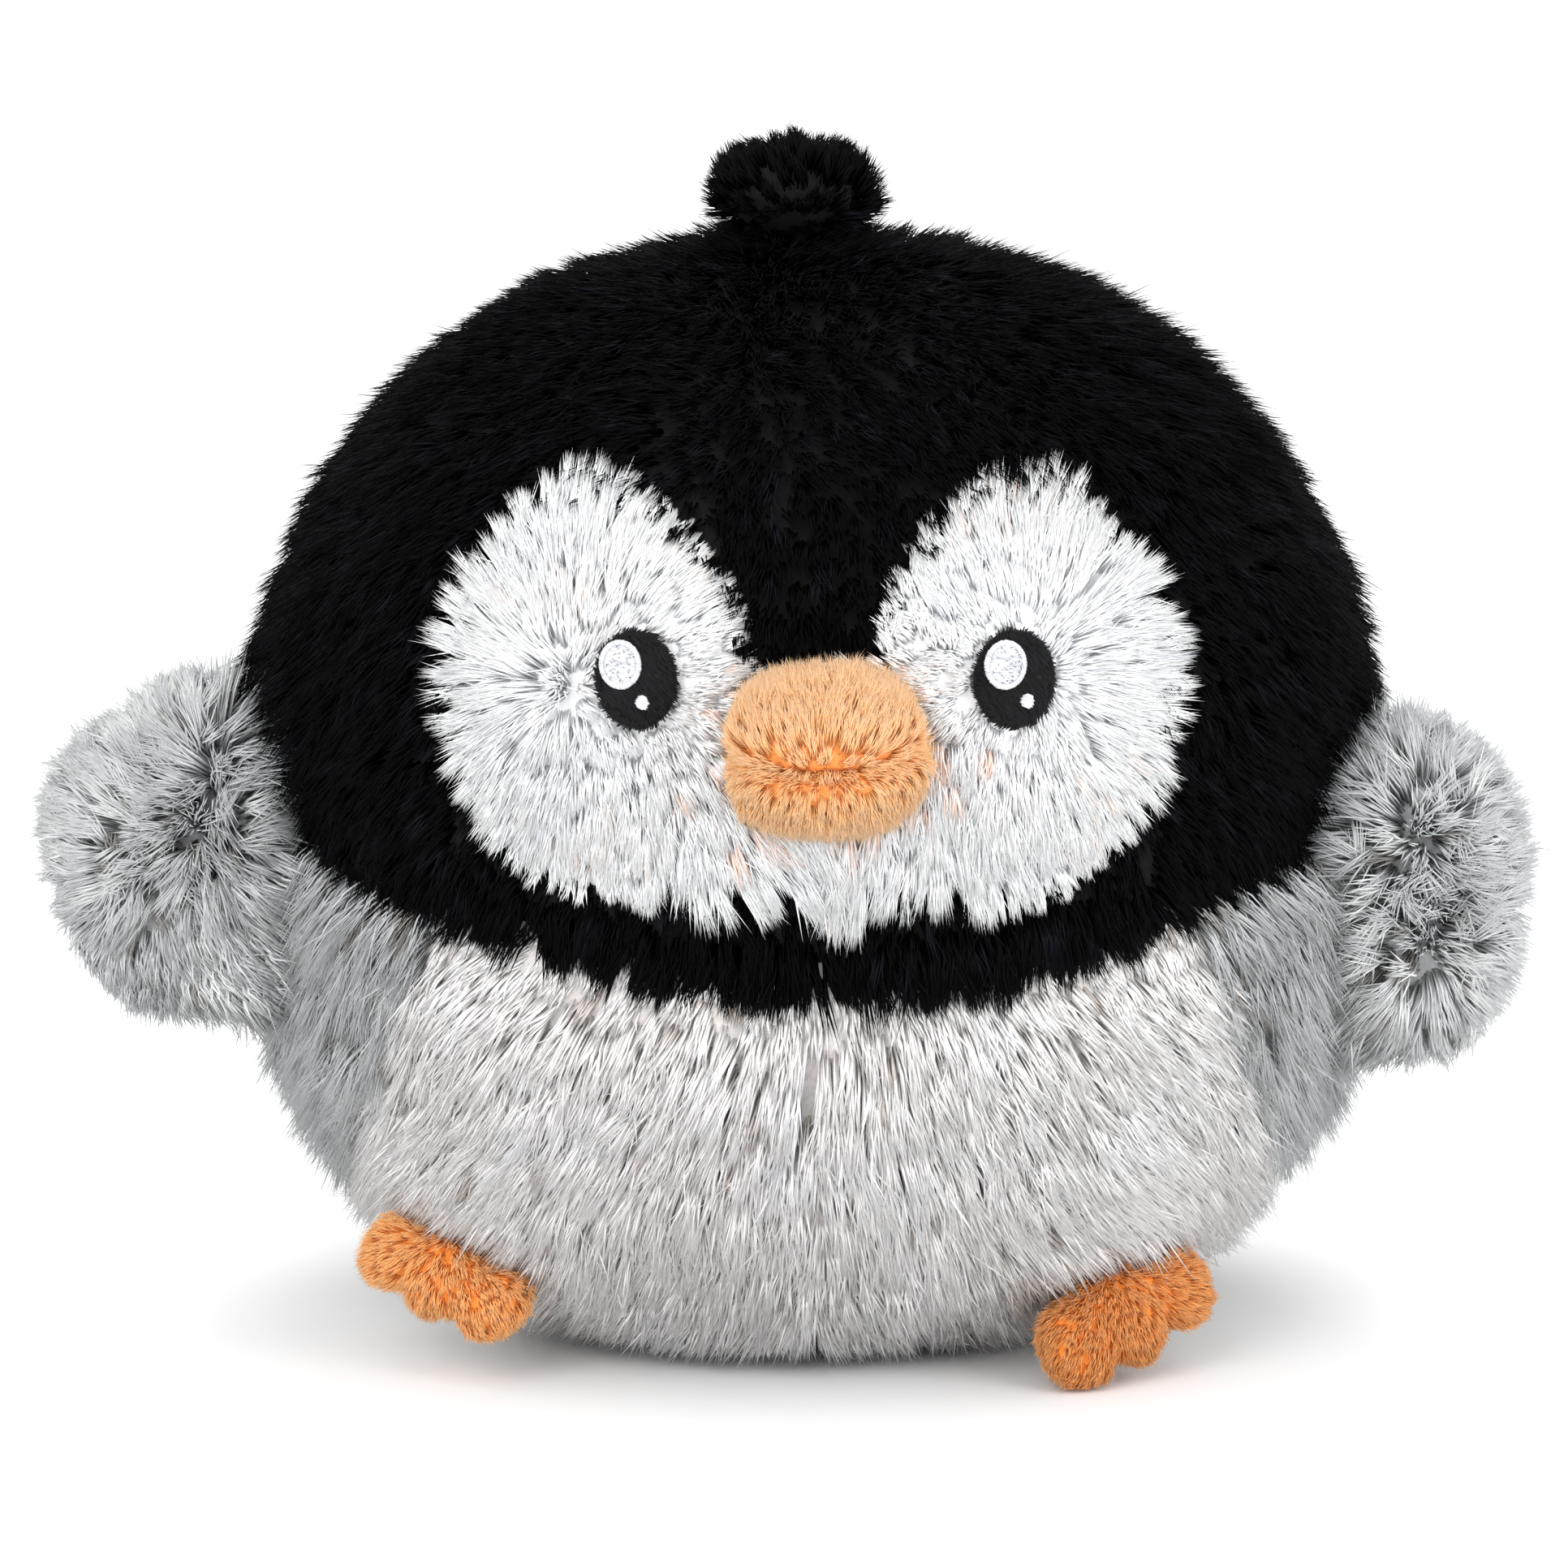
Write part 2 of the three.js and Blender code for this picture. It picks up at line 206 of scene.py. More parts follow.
def pile_material(name, along, tones, rough=0.7, specular=0.2):
    """Fibre: a colour from root to tip (V), times a tone for each fibre (U)."""
    tree, shader = new_material(name, rough, specular)
    uv = tree.nodes.new("ShaderNodeUVMap")
    uv.uv_map = "OFBake"
    split = tree.nodes.new("ShaderNodeSeparateXYZ")
    tree.links.new(uv.outputs["UV"], split.inputs["Vector"])
    mix = tree.nodes.new("ShaderNodeMix")
    mix.data_type = "RGBA"
    mix.blend_type = "MULTIPLY"
    mix.inputs["Factor"].default_value = 1.0
    tree.links.new(ramp(tree, along, split.outputs["Y"]), mix.inputs["A"])
    tree.links.new(ramp(tree, tones, split.outputs["X"]), mix.inputs["B"])
    tree.links.new(mix.outputs["Result"], shader.inputs["Base Color"])


def cloth_material(name, dark, light, size=900.0, rough=0.85):
    """Knitted backing or fibre fill: two tones mixed by fine noise, with a little bump."""
    tree, shader = new_material(name, rough, 0.2)
    coords = tree.nodes.new("ShaderNodeTexCoord")
    fine = tree.nodes.new("ShaderNodeTexNoise")
    fine.inputs["Scale"].default_value = size
    fine.inputs["Detail"].default_value = 4.0
    tree.links.new(coords.outputs["Object"], fine.inputs["Vector"])
    tones = ramp(tree, [(0.35, dark), (0.65, light)], fine.outputs["Fac"])
    tree.links.new(tones, shader.inputs["Base Color"])
    bump = tree.nodes.new("ShaderNodeBump")
    bump.inputs["Strength"].default_value = 0.4
    bump.inputs["Distance"].default_value = 0.0003
    tree.links.new(fine.outputs["Fac"], bump.inputs["Height"])
    tree.links.new(bump.outputs["Normal"], shader.inputs["Normal"])


# Each pile's along ramp is darker at the root: painted shade for the depth between the fibres.
FULL = even(1.0)
# The top of the black pile's tones, over four times brighter, is a painted glint for the locks that catch the
# light.
pile_material(
    "black_pile",
    [(0.0, rgb(1, 1, 2)), (0.6, rgb(5, 5, 7)), (1.0, rgb(9, 9, 12))],
    [(0.0, even(0.4)), (0.9, FULL), (1.0, (4.5, 4.5, 5.2, 1.0))],
    rough=0.6, specular=0.06,
)
pile_material(
    "white_pile",
    [(0.0, rgb(244, 245, 248)), (0.35, rgb(249, 250, 251)), (1.0, rgb(254, 254, 254))],
    [
        (0.0, rgb(222, 225, 232)), (0.2, rgb(244, 245, 246)), (0.8, FULL),
        (0.86, rgb(254, 242, 235)), (1.0, rgb(252, 216, 200)),
    ],
    rough=0.75,
)
# The lowest tones, 0 to 0.1, are painted shade: the dark locks that stand for shadowed gaps.
pile_material(
    "light_grey_pile",
    [(0.0, rgb(222, 217, 214)), (0.3, rgb(236, 234, 233)), (1.0, rgb(249, 249, 250))],
    [
        (0.0, rgb(200, 191, 185)), (0.1, rgb(218, 212, 208)), (0.2, rgb(240, 239, 238)),
        (0.8, FULL), (1.0, rgb(246, 247, 252)),
    ],
    rough=0.75,
)
# Grey tones from 0.1 to 0.45 give the side and back panels: partly their own darker grey, partly painted shade.
# Below 0.1 is painted shade: the dark locks that stand for shadowed gaps.
pile_material(
    "grey_pile",
    [(0.0, rgb(200, 200, 198)), (0.3, rgb(214, 214, 213)), (1.0, rgb(234, 236, 235))],
    [
        (0.0, rgb(160, 154, 148)), (0.1, rgb(184, 182, 180)), (0.2, rgb(202, 205, 208)),
        (0.5, rgb(232, 234, 236)), (0.8, FULL), (1.0, rgb(250, 251, 252)),
    ],
)
# The low end of these tones is painted shade, which darkens the right foot's pile.
pile_material(
    "orange_pile",
    [(0.0, rgb(248, 160, 84)), (0.5, rgb(251, 180, 110)), (1.0, rgb(253, 200, 144))],
    [(0.0, rgb(232, 214, 200)), (0.5, FULL), (1.0, rgb(255, 250, 240))],
)
# The low end of the beak's tones is painted shade along the crease.
pile_material(
    "beak_pile",
    [
        (0.0, rgb(247, 184, 116)), (0.35, rgb(247, 196, 138)),
        (0.75, rgb(247, 207, 164)), (1.0, rgb(247, 215, 184)),
    ],
    [(0.0, rgb(250, 220, 176)), (0.4, rgb(253, 246, 238)), (1.0, rgb(255, 253, 250))],
)
for name, root, tip, tones, rough, specular in (
    ("black_embroidery", rgb(6, 6, 8), rgb(11, 11, 14), (even(0.1), even(1.8)), 0.42, 0.16),
    ("white_embroidery", rgb(214, 215, 220), rgb(228, 228, 231), (rgb(214, 215, 222), FULL), 0.4, 0.45),
    ("orange_thread", rgb(236, 140, 40), rgb(240, 150, 52), (even(0.8), FULL), 0.45, 0.3),
    ("grey_thread", rgb(150, 148, 146), rgb(170, 168, 166), (even(0.8), FULL), 0.45, 0.3),
):
    pile_material(name, [(0.0, root), (1.0, tip)], [(0.0, tones[0]), (1.0, tones[1])], rough, specular)
cloth_material("black_backing", rgb(6, 6, 7), rgb(14, 14, 16))
cloth_material("white_backing", rgb(246, 247, 248), rgb(252, 252, 253))
cloth_material("light_grey_backing", rgb(206, 201, 198), rgb(222, 218, 216))
cloth_material("grey_backing", rgb(160, 161, 162), rgb(178, 179, 180))
cloth_material("orange_backing", rgb(238, 136, 54), rgb(244, 152, 70))
# The beak's backing is darker than its pile's roots: painted shade in the gaps between the fibres.
cloth_material("beak_backing", rgb(226, 138, 70), rgb(234, 150, 84))
cloth_material("fibre_fill", rgb(214, 214, 212), rgb(244, 244, 242), size=160.0)
cloth_material("label_satin", rgb(226, 226, 224), rgb(244, 244, 242), size=2400.0, rough=0.4)


# ---------------- meshes
def linked(name, data):
    """A new object in the scene."""
    obj = bpy.data.objects.new(name, data)
    bpy.context.scene.collection.objects.link(obj)
    return obj


def add_object(name, mesh, material):
    mesh.materials.clear()
    mesh.materials.append(M[material])
    return linked(name, mesh)


def declare(obj, slot, body, *nodes, fill=None):
    """Hides the CAD nodes that a piece replaces and sets it on the body that it rides on; its slot and padding
    (fill) are not used.
    """
    if nodes:
        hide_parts(*nodes)
    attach(obj, body)
    return obj


def set_points(mesh, v):
    """Moves a mesh's vertices to v, in mm."""
    mesh.vertices.foreach_set("co", (v * MM).astype(np.float32).ravel())
    mesh.update()


def smooth_faces(mesh):
    mesh.polygons.foreach_set("use_smooth", np.ones(len(mesh.polygons), bool))


def mesh_of(name, bm):
    """A new mesh of bm, which is freed."""
    mesh = bpy.data.meshes.new(name)
    bm.to_mesh(mesh)
    bm.free()
    return mesh


def spikes(name, path, radius, tone, across, material, rng, sides=3, flat=0.65):
    """Closed tapered fibres in one mesh. path is fibres x stations x 3 and ends at the tips;
    radius is fibres x rings, one ring fewer than the stations."""
    count, stations, _ = path.shape
    rings = stations - 1
    d = np.empty((count, rings, 3))
    d[:, 0] = path[:, 1] - path[:, 0]
    d[:, 1:] = path[:, 2:] - path[:, :-2]
    d = unit(d)
    e1 = unit(across[:, None] - d * dots(np.broadcast_to(across[:, None], d.shape), d))
    e2 = np.cross(d, e1)
    turn = rng.uniform(0, 2 * math.pi, count)[:, None] + np.arange(sides) * 2 * math.pi / sides
    cos, sin = np.cos(turn)[:, None, :, None], np.sin(turn)[:, None, :, None] * flat
    ring = path[:, :rings, None] + radius[:, :, None, None] * (cos * e1[:, :, None] + sin * e2[:, :, None])
    each = rings * sides + 1
    co = np.concatenate([ring.reshape(count, rings * sides, 3), path[:, rings:]], axis=1).reshape(-1, 3)
    faces, sizes = [list(range(sides))[::-1]], [sides]
    for r in range(rings - 1):
        for j in range(sides):
            k = (j + 1) % sides
            faces.append([r * sides + j, r * sides + k, (r + 1) * sides + k, (r + 1) * sides + j])
            sizes.append(4)
    last = (rings - 1) * sides
    for j in range(sides):
        faces.append([last + j, last + (j + 1) % sides, rings * sides])
        sizes.append(3)
    one = np.array([i for f in faces for i in f])
    loops = (one[None] + np.arange(count)[:, None] * each).ravel()
    starts = np.concatenate([[0], np.cumsum(sizes)[:-1]])
    starts = (starts[None] + np.arange(count)[:, None] * len(one)).ravel()
    mesh = bpy.data.meshes.new(name)
    mesh.vertices.add(len(co))
    mesh.vertices.foreach_set("co", (co * MM).astype(np.float32).ravel())
    mesh.loops.add(len(loops))
    mesh.loops.foreach_set("vertex_index", loops.astype(np.int32))
    mesh.polygons.add(len(starts))
    mesh.polygons.foreach_set("loop_start", starts.astype(np.int32))
    mesh.polygons.foreach_set("use_smooth", np.ones(len(starts), bool))
    along = np.repeat(np.linspace(0, 1, stations), [sides] * rings + [1])
    v = np.tile(np.clip(along, 0.01, 0.99)[one], count)
    uv = np.stack([np.repeat(np.clip(tone, 0.01, 0.99), len(one)), v], -1)
    mesh.uv_layers.new(name="OFBake").data.foreach_set("uv", uv.astype(np.float32).ravel())
    mesh.update(calc_edges=True)
    return add_object(name, mesh, material)


def arrays(mesh):
    """Vertices and normals in mm, and triangles, of a mesh in metres."""
    mesh.calc_loop_triangles()
    v = np.empty(len(mesh.vertices) * 3, np.float32)
    mesh.vertices.foreach_get("co", v)
    n = np.empty(len(mesh.vertices) * 3, np.float32)
    mesh.vertices.foreach_get("normal", n)
    t = np.empty(len(mesh.loop_triangles) * 3, np.int32)
    mesh.loop_triangles.foreach_get("vertices", t)
    return v.reshape(-1, 3).astype(float) / MM, n.reshape(-1, 3).astype(float), t.reshape(-1, 3)


def sample(surface, cell, keep, rng):
    """Points spread evenly, about one for each 0.67 cell squared, where keep allows, and their normals."""
    v, n, t = surface
    a, b, c = v[t[:, 0]], v[t[:, 1]], v[t[:, 2]]
    area = np.linalg.norm(np.cross(b - a, c - a), axis=1) / 2
    count = int(7 * area.sum() / cell**2)
    pick = rng.choice(len(t), count, p=area / area.sum())
    r, s = np.sqrt(rng.random(count))[:, None], rng.random(count)[:, None]
    weights = (1 - r, r * (1 - s), r * s)
    p = sum(w * v[t[pick, i]] for i, w in enumerate(weights))
    m = unit(sum(w * n[t[pick, i]] for i, w in enumerate(weights)))
    ok = keep(p)
    p, m = p[ok], m[ok]
    key = np.floor(p / cell).astype(np.int64) + 4096
    _, first = np.unique((key[:, 0] * 8192 + key[:, 1]) * 8192 + key[:, 2], return_index=True)
    return p[first], m[first]


def grow(
    name, surface, keep, comb, slot, body, seed, spacing=2.2, fibres=11, length=12.0, rise=(48, 2), width=0.45,
    gather=0.75, swirl=14, swirl_wave=9.0, hug=0.0, stations=(0, 0.45, 1), tone=None, stray=0.06, root=0.5,
    uneven=0.12, gap_shade=0.0, stand=0.0, mottle=0.12, ruffle=0.55, loose=2.0,
):
    """A piece of pile: locks of fibres combed along the surface, one mesh."""
    rng = np.random.default_rng(seed)
    p, n = sample(surface, spacing * 1.22, keep, rng)
    t = comb(p)
    t = t - n * dots(t, n)
    # where the combing is weak the pile stands up
    upright = stand * (1 - ease(np.linalg.norm(t, axis=1), 0.05, 0.75))
    t = unit(t)
    q = np.cross(n, t)
    turn = np.radians(swirl) * (noise(p, swirl_wave, seed + 1) + ruffle * rng.normal(size=len(p)))
    turn = (turn + 1.2 * upright * rng.normal(size=len(p)))[:, None]
    t, q = t * np.cos(turn) + q * np.sin(turn), q * np.cos(turn) - t * np.sin(turn)
    size = length(p) if callable(length) else np.full(len(p), float(length))
    size = size * (1 + 0.1 * noise(p, swirl_wave, seed + 2) + 0.1 * ruffle * rng.normal(size=len(p)))
    shade = 0.5 + mottle * (1.3 * noise(p, 14.0, seed + 3) + rng.normal(size=len(p)))
    if tone is not None:
        shade = tone(p, shade, rng)
    # painted shade: a few locks are short and painted dark, standing for the shadowed gaps between the long
    # ones
    dark = rng.random(len(p)) < gap_shade
    shade = np.where(dark, 0.1 * rng.random(len(p)), np.maximum(shade, 0.2 if gap_shade else 0.0))
    size = size * np.where(dark, 0.8, 1.0)
    first = rise(p) if callable(rise) else rise
    wavy = 7 * noise(p, swirl_wave, seed + 4)
    rise0 = np.radians(first[0] + 38 * upright + 8 * ruffle * rng.normal(size=len(p)) + wavy)
    rise1 = np.radians(first[1] + 80 * upright + 7 * ruffle * rng.normal(size=len(p)))
    sway = 0.1 * ruffle * rng.normal(size=len(p))
    who = np.repeat(np.arange(len(p)), fibres)
    many = len(who)
    reach = np.sqrt(rng.random(many))
    where = rng.uniform(0, 2 * math.pi, many)
    radius = 0.66 * spacing
    ox, oy = reach * radius * np.cos(where), reach * radius * np.sin(where)
    size_i = size[who] * (1 - uneven * (reach**2 + rng.random(many)))
    r0 = (rise0[who] + 0.05 * loose * rng.normal(size=many))[:, None]
    r1 = (rise1[who] + 0.07 * loose * rng.normal(size=many))[:, None]
    step = np.where(np.abs(r1 - r0) < 0.02, 0.02, r1 - r0)
    s = np.array(stations)[None]
    at = r0 + step * s
    up = (np.cos(r0) - np.cos(at)) / step * size_i[:, None]
    out = (np.sin(at) - np.sin(r0)) / step * size_i[:, None]
    free = rng.random(many) < stray
    pull = gather(p)[who] if callable(gather) else gather
    hold = np.where(free, 0.1, pull * (0.8 + 0.4 * rng.random(many))) - 1.1 * upright[who]
    close = 1 - np.clip(hold[:, None] * s**1.1, -0.8, 0.97)
    wander = sway[who] + np.where(free, 0.22, 0.04 * loose) * rng.normal(size=many)
    side = wander[:, None] * size_i[:, None] * s**2
    lift = np.where(free, 0.14, 0.03 * loose)[:, None] * rng.normal(size=(many, 1)) * size_i[:, None] * s**2
    N, T, Q = n[who][:, None], t[who][:, None], q[who][:, None]
    path = (
        p[who][:, None]
        + N * (up + lift - hug * out**2 - root * (s == 0))[..., None]
        + T * (out + oy[:, None] * close)[..., None]
        + Q * (ox[:, None] * close + side)[..., None]
    )
    path[:, :, 2] = np.maximum(path[:, :, 2], 0.35 + 0.4 * rng.random(many)[:, None])
    rings = len(stations) - 1
    taper = np.interp(np.array(stations[:rings]), [0, 0.3, 0.7, 1], [0.8, 1.0, 0.8, 0.3])
    thick = width / 2 * (0.8 + 0.4 * rng.random(many))
    shades = shade[who] + np.where(dark[who], 0.02, 0.07) * rng.normal(size=many)
    obj = spikes(name, path, thick[:, None] * taper[None], shades, Q[:, 0], slot, rng)
    declare(obj, slot, body)


# ---------------- padded bodies
def evaluated(obj):
    """A new mesh of obj with its modifiers."""
    bpy.context.view_layer.update()
    dg = bpy.context.evaluated_depsgraph_get()
    return bpy.data.meshes.new_from_object(obj.evaluated_get(dg), depsgraph=dg)


def puff(obj, cap, pins=None, pressure=14.0, frames=20):
    """Blows the closed mesh up as cloth, and lets no point move further than cap mm."""
    before = arrays(obj.data)[0]
    if pins is not None:
        group = obj.vertex_groups.new(name="pin")
        for i in np.nonzero(pins > 0.02)[0]:
            group.add([int(i)], float(pins[i]), "REPLACE")
    cloth = obj.modifiers.new("Cloth", "CLOTH")
    for key, value in dict(
        quality=4, mass=0.0002, tension_stiffness=1.0, compression_stiffness=1.0, shear_stiffness=0.4,
        bending_stiffness=0.005, use_pressure=True, uniform_pressure_force=pressure,
    ).items():
        setattr(cloth.settings, key, value)
    cloth.settings.effector_weights.gravity = 0.0
    cloth.collision_settings.use_collision = False
    cloth.collision_settings.use_self_collision = False
    if pins is not None:
        cloth.settings.vertex_group_mass = "pin"
    cloth.point_cache.frame_start = 1
    cloth.point_cache.frame_end = frames
    scene = bpy.context.scene
    for f in range(1, frames + 1):
        scene.frame_set(f)
    move = arrays(evaluated(obj))[0] - before
    far = np.linalg.norm(move, axis=1, keepdims=True)
    obj.modifiers.clear()
    obj.vertex_groups.clear()
    set_points(obj.data, before + move * np.minimum(1.0, cap / np.maximum(far, 1e-6)))
    scene.frame_set(1)


def reshape(obj, change):
    """Moves a mesh's vertices by a rule in mm."""
    set_points(obj.data, change(arrays(obj.data)[0]))


def closed_from(name, nodes, voxel, smooth=6, hull=True, shrink=0.0):
    """One closed even mesh around CAD nodes: their hull or their union, remeshed and smoothed."""
    bm = bmesh.new()
    for node in nodes:
        bm.from_mesh(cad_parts[node].data)
    if hull:
        found = bmesh.ops.convex_hull(bm, input=bm.verts)
        inside = found["geom_interior"] + found["geom_unused"]
        extra = {part for part in inside if isinstance(part, bmesh.types.BMVert)}
        bmesh.ops.delete(bm, geom=list(extra), context="VERTS")
    obj = linked(name, mesh_of(name, bm))
    remesh = obj.modifiers.new("Remesh", "REMESH")
    remesh.mode = "VOXEL"
    remesh.voxel_size = voxel * MM
    even = obj.modifiers.new("Smooth", "SMOOTH")
    even.iterations = smooth
    even.factor = 0.5
    mesh = evaluated(obj)
    obj.modifiers.clear()
    obj.data = mesh
    # the remeshed union of shells has a hollow inside: only the outer skin is kept
    bm = bmesh.new()
    bm.from_mesh(mesh)
    seen, islands = set(), []
    for start in bm.verts:
        if start in seen:
            continue
        stack, island = [start], []
        seen.add(start)
        while stack:
            vert = stack.pop()
            island.append(vert)
            for edge in vert.link_edges:
                other = edge.other_vert(vert)
                if other not in seen:
                    seen.add(other)
                    stack.append(other)
        islands.append(island)
    islands.sort(key=len)
    bmesh.ops.delete(bm, geom=[vert for island in islands[:-1] for vert in island], context="VERTS")
    bm.to_mesh(mesh)
    bm.free()
    if shrink:
        v, n, _ = arrays(mesh)
        set_points(mesh, v - n * shrink)
    smooth_faces(mesh)
    return obj


def mean_of(node):
    return arrays(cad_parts[node].data)[0].mean(0)


def split_plane(a, b):
    """The seam plane between two CAD panels: a point on it, and its normal towards a."""
    ca, cb = mean_of(a), mean_of(b)
    return (ca + cb) / 2, unit(ca - cb)


def cloth_panel(name, mesh, slot, body, nodes, fill, thick=1.0, levels=1):
    """A mesh as a cloth shell, on the backing that belongs to its pile."""
    obj = add_object(name, mesh, slot.replace("_pile", "_backing"))
    smooth_faces(mesh)
    if levels:
        finer = obj.modifiers.new("Subdivision", "SUBSURF")
        finer.levels = finer.render_levels = levels
        finer.boundary_smooth = "PRESERVE_CORNERS"
    shell = obj.modifiers.new("Solidify", "SOLIDIFY")
    shell.thickness = thick * MM
    shell.offset = -1.0
    declare(obj, slot, body, *nodes, fill=fill)


def cut_half(name, source, point, normal, slot, body, nodes, fill, thick):
    """The part of a closed padded mesh on normal's side of the seam plane, as a cloth panel."""
    bm = bmesh.new()
    bm.from_mesh(source.data)
    every = bm.verts[:] + bm.edges[:] + bm.faces[:]
    bmesh.ops.bisect_plane(bm, geom=every, plane_co=point * MM, plane_no=normal, clear_inner=True, dist=1e-6)
    cloth_panel(name, mesh_of(name, bm), slot, body, nodes, fill, thick)


def stuffing(name, source, inset, body, nodes, seed, fill=0.7):
    """The loose fibre fill inside a padded body: its shape, smaller and lumpy."""
    v, n, _ = arrays(source.data)
    mesh = source.data.copy()
    set_points(mesh, v - n * (inset + 0.5 * noise(v, 9.0, seed))[:, None])
    declare(add_object(name, mesh, "fibre_fill"), "fibre_fill", body, *nodes, fill=fill)


def discard(obj):
    bpy.data.objects.remove(obj)


def sewn(stem, halves, skin, seam, slot, body, inset, seed, fill=0.6, thick=1.0, ending="_panel"):
    """The two cloth halves and the filling of a padded skin, which is then removed; gives its surface."""
    point, normal = seam
    for half, way in zip(halves, (1.0, -1.0)):
        node = f"{stem}_{half}{ending}"
        cut_half(f"{stem}_{half}_cloth", skin, point, way * normal, slot, body, [node], fill, thick)
    stuffing(stem + "_fill", skin, inset, body, [stem + "_stuffing"], seed)
    surface = arrays(skin.data)
    discard(skin)
    return surface


# ---------------- camera, lights, floor
AIM = np.array((-0.0048, 0.0, 0.089))
DISTANCE, ELEVATION = 0.9, math.radians(8)
camera = linked("camera", bpy.data.cameras.new("camera"))
camera.location = AIM + DISTANCE * np.array((0.0, -math.cos(ELEVATION), math.sin(ELEVATION)))
camera.rotation_euler = (math.pi / 2 - ELEVATION, 0.0, 0.0)
camera.data.sensor_width = 36.0
camera.data.lens = 123.3
camera.data.clip_start = 0.01
camera.data.clip_end = 20.0
bpy.context.scene.camera = camera

floor_mesh = bpy.data.meshes.new("floor")
profile = [(-3.0, 0.0), (1.2, 0.0)]
profile += [(1.2 + 0.9 * math.sin(a), 0.9 - 0.9 * math.cos(a)) for a in np.linspace(0.1, math.pi / 2, 12)]
profile += [(2.1, 4.0)]
floor_mesh.from_pydata(
    [(x, y, z - 0.0002) for y, z in profile for x in (-4.0, 4.0)],
    [],
    [(2 * i, 2 * i + 1, 2 * i + 3, 2 * i + 2) for i in range(len(profile) - 1)],
)
floor = linked("floor", floor_mesh)
_, floor_shader = new_material("floor_paper", 0.9, 0.1)
floor_shader.inputs["Base Color"].default_value = (0.93, 0.93, 0.93, 1.0)
floor_mesh.materials.append(M["floor_paper"])
smooth_faces(floor_mesh)


def area_light(name, place, aim, size, power):
    data = bpy.data.lights.new(name, "AREA")
    data.shape = "DISK"
    data.size = size
    data.energy = power
    obj = linked(name, data)
    obj.location = place
    direction = np.array(aim) - np.array(place)
    obj.rotation_euler = Vector(direction).to_track_quat("-Z", "Y").to_euler()


area_light("key_light", (-0.6, -1.25, 0.75), (0.0, 0.0, 0.08), 1.0, 9.0)
area_light("fill_light", (1.05, -0.95, 0.42), (0.0, 0.0, 0.07), 1.0, 7.0)
area_light("top_light", (0.1, 0.35, 1.3), (0.0, 0.0, 0.1), 0.8, 4.0)
world = bpy.data.worlds.new("studio")
world.use_nodes = True
world.node_tree.nodes["Background"].inputs["Color"].default_value = (1.0, 1.0, 1.0, 1.0)
world.node_tree.nodes["Background"].inputs["Strength"].default_value = 1.25
bpy.context.scene.world = world
bpy.context.scene.view_settings.view_transform = "Standard"

# ---------------- the ball, cut into its pattern pieces
DART = (-10.0, 154.0)


def ball_mesh():
    """An even mesh, and its points on the ball, pulled onto the seams."""
    bm = bmesh.new()
    bmesh.ops.create_icosphere(bm, subdivisions=6, radius=1.0)
    mesh = mesh_of("ball_skin", bm)
    d = unit(arrays(mesh)[0])
    h, n = roundness(d[:, 2] > 0)
    rho = np.hypot(d[:, 0] / HALF_W, d[:, 1] / HALF_D)
    r = (rho**n + np.abs(d[:, 2] / h) ** n) ** (-1 / n)
    v = d * r[:, None]
    v[:, 2] += EQUATOR_Z
    edges = np.array([tuple(e.vertices) for e in mesh.edges])
    # vertices next to a seam are pulled onto it, so that the panels meet on clean lines
    for seam, where in (
        (in_hood, lambda p: in_face(p) < -3),
        (in_face, lambda p: p[:, 1] < 0),
        (in_wedge, lambda p: (p[:, 1] < 0) & (in_hood(p) < 0.5) & (in_base(p) < 0.5)),
        (in_base, lambda p: p[:, 2] < 20),
        (lambda p: p[:, 0], lambda p: (p[:, 1] > CROWN_Y - 0.5)),
        (lambda p: p[:, 1] - CROWN_Y, lambda p: in_hood(p) > -0.5),
    ):
        g = seam(v)
        a, b = edges[:, 0], edges[:, 1]
        cross = (g[a] * g[b] < 0) & (np.abs(g[a]) < 9) & (np.abs(g[b]) < 9) & where(v[a]) & where(v[b])
        a, b = a[cross], b[cross]
        near_a = np.abs(g[a]) < np.abs(g[b])
        i, j = np.where(near_a, a, b), np.where(near_a, b, a)
        share = (np.abs(g[i]) / np.maximum(np.abs(g[i]) + np.abs(g[j]), 1e-9))[:, None]
        v[i] = v[i] + (v[j] - v[i]) * share
    return mesh, v


def ball_normals(v):
    """Outward normals of the smooth ball at its points."""
    x, y, z = v.T
    h, n = roundness(z > EQUATOR_Z)
    radial = np.maximum(np.hypot(x / HALF_W, y / HALF_D), 1e-6) ** (n - 2)
    up = (z - EQUATOR_Z) / h
    rise = np.sign(up) * np.abs(up) ** (n - 1) / h
    return unit(vectors(radial * x / HALF_W**2, radial * y / HALF_D**2, rise))


skin_mesh, skin_v = ball_mesh()
skin_n = ball_normals(skin_v)
x, y, z = skin_v.T
seam_depth = np.zeros(len(skin_v))
for gap, depth, wide in (
    (np.abs(in_hood(skin_v)), 1.6, 3.5),
    (np.abs(in_face(skin_v)), 1.0, 2.5),
    (np.where(in_hood(skin_v) < 0, np.abs(in_wedge(skin_v)), 99), 1.4, 3.5),
    (np.where(y > 0, np.abs(x), 99), 1.4, 3.5),
    (np.where(in_hood(skin_v) > 0, np.abs(y - CROWN_Y), 99), 0.8, 3.0),
):
    seam_depth = np.maximum(seam_depth, depth * np.exp(-((gap / wide) ** 2)))
dart = 2.2 * np.exp(-(((x - DART[0]) / 3.5) ** 2) - ((z - DART[1]) / 7) ** 2) * (y < 0)
height = -1.0 - seam_depth - dart + 0.7 * noise(skin_v, 24.0, 5)
skin_v = skin_v + skin_n * height[:, None]
skin_v[:, 2] = np.maximum(skin_v[:, 2], 0.0)
set_points(skin_mesh, skin_v)
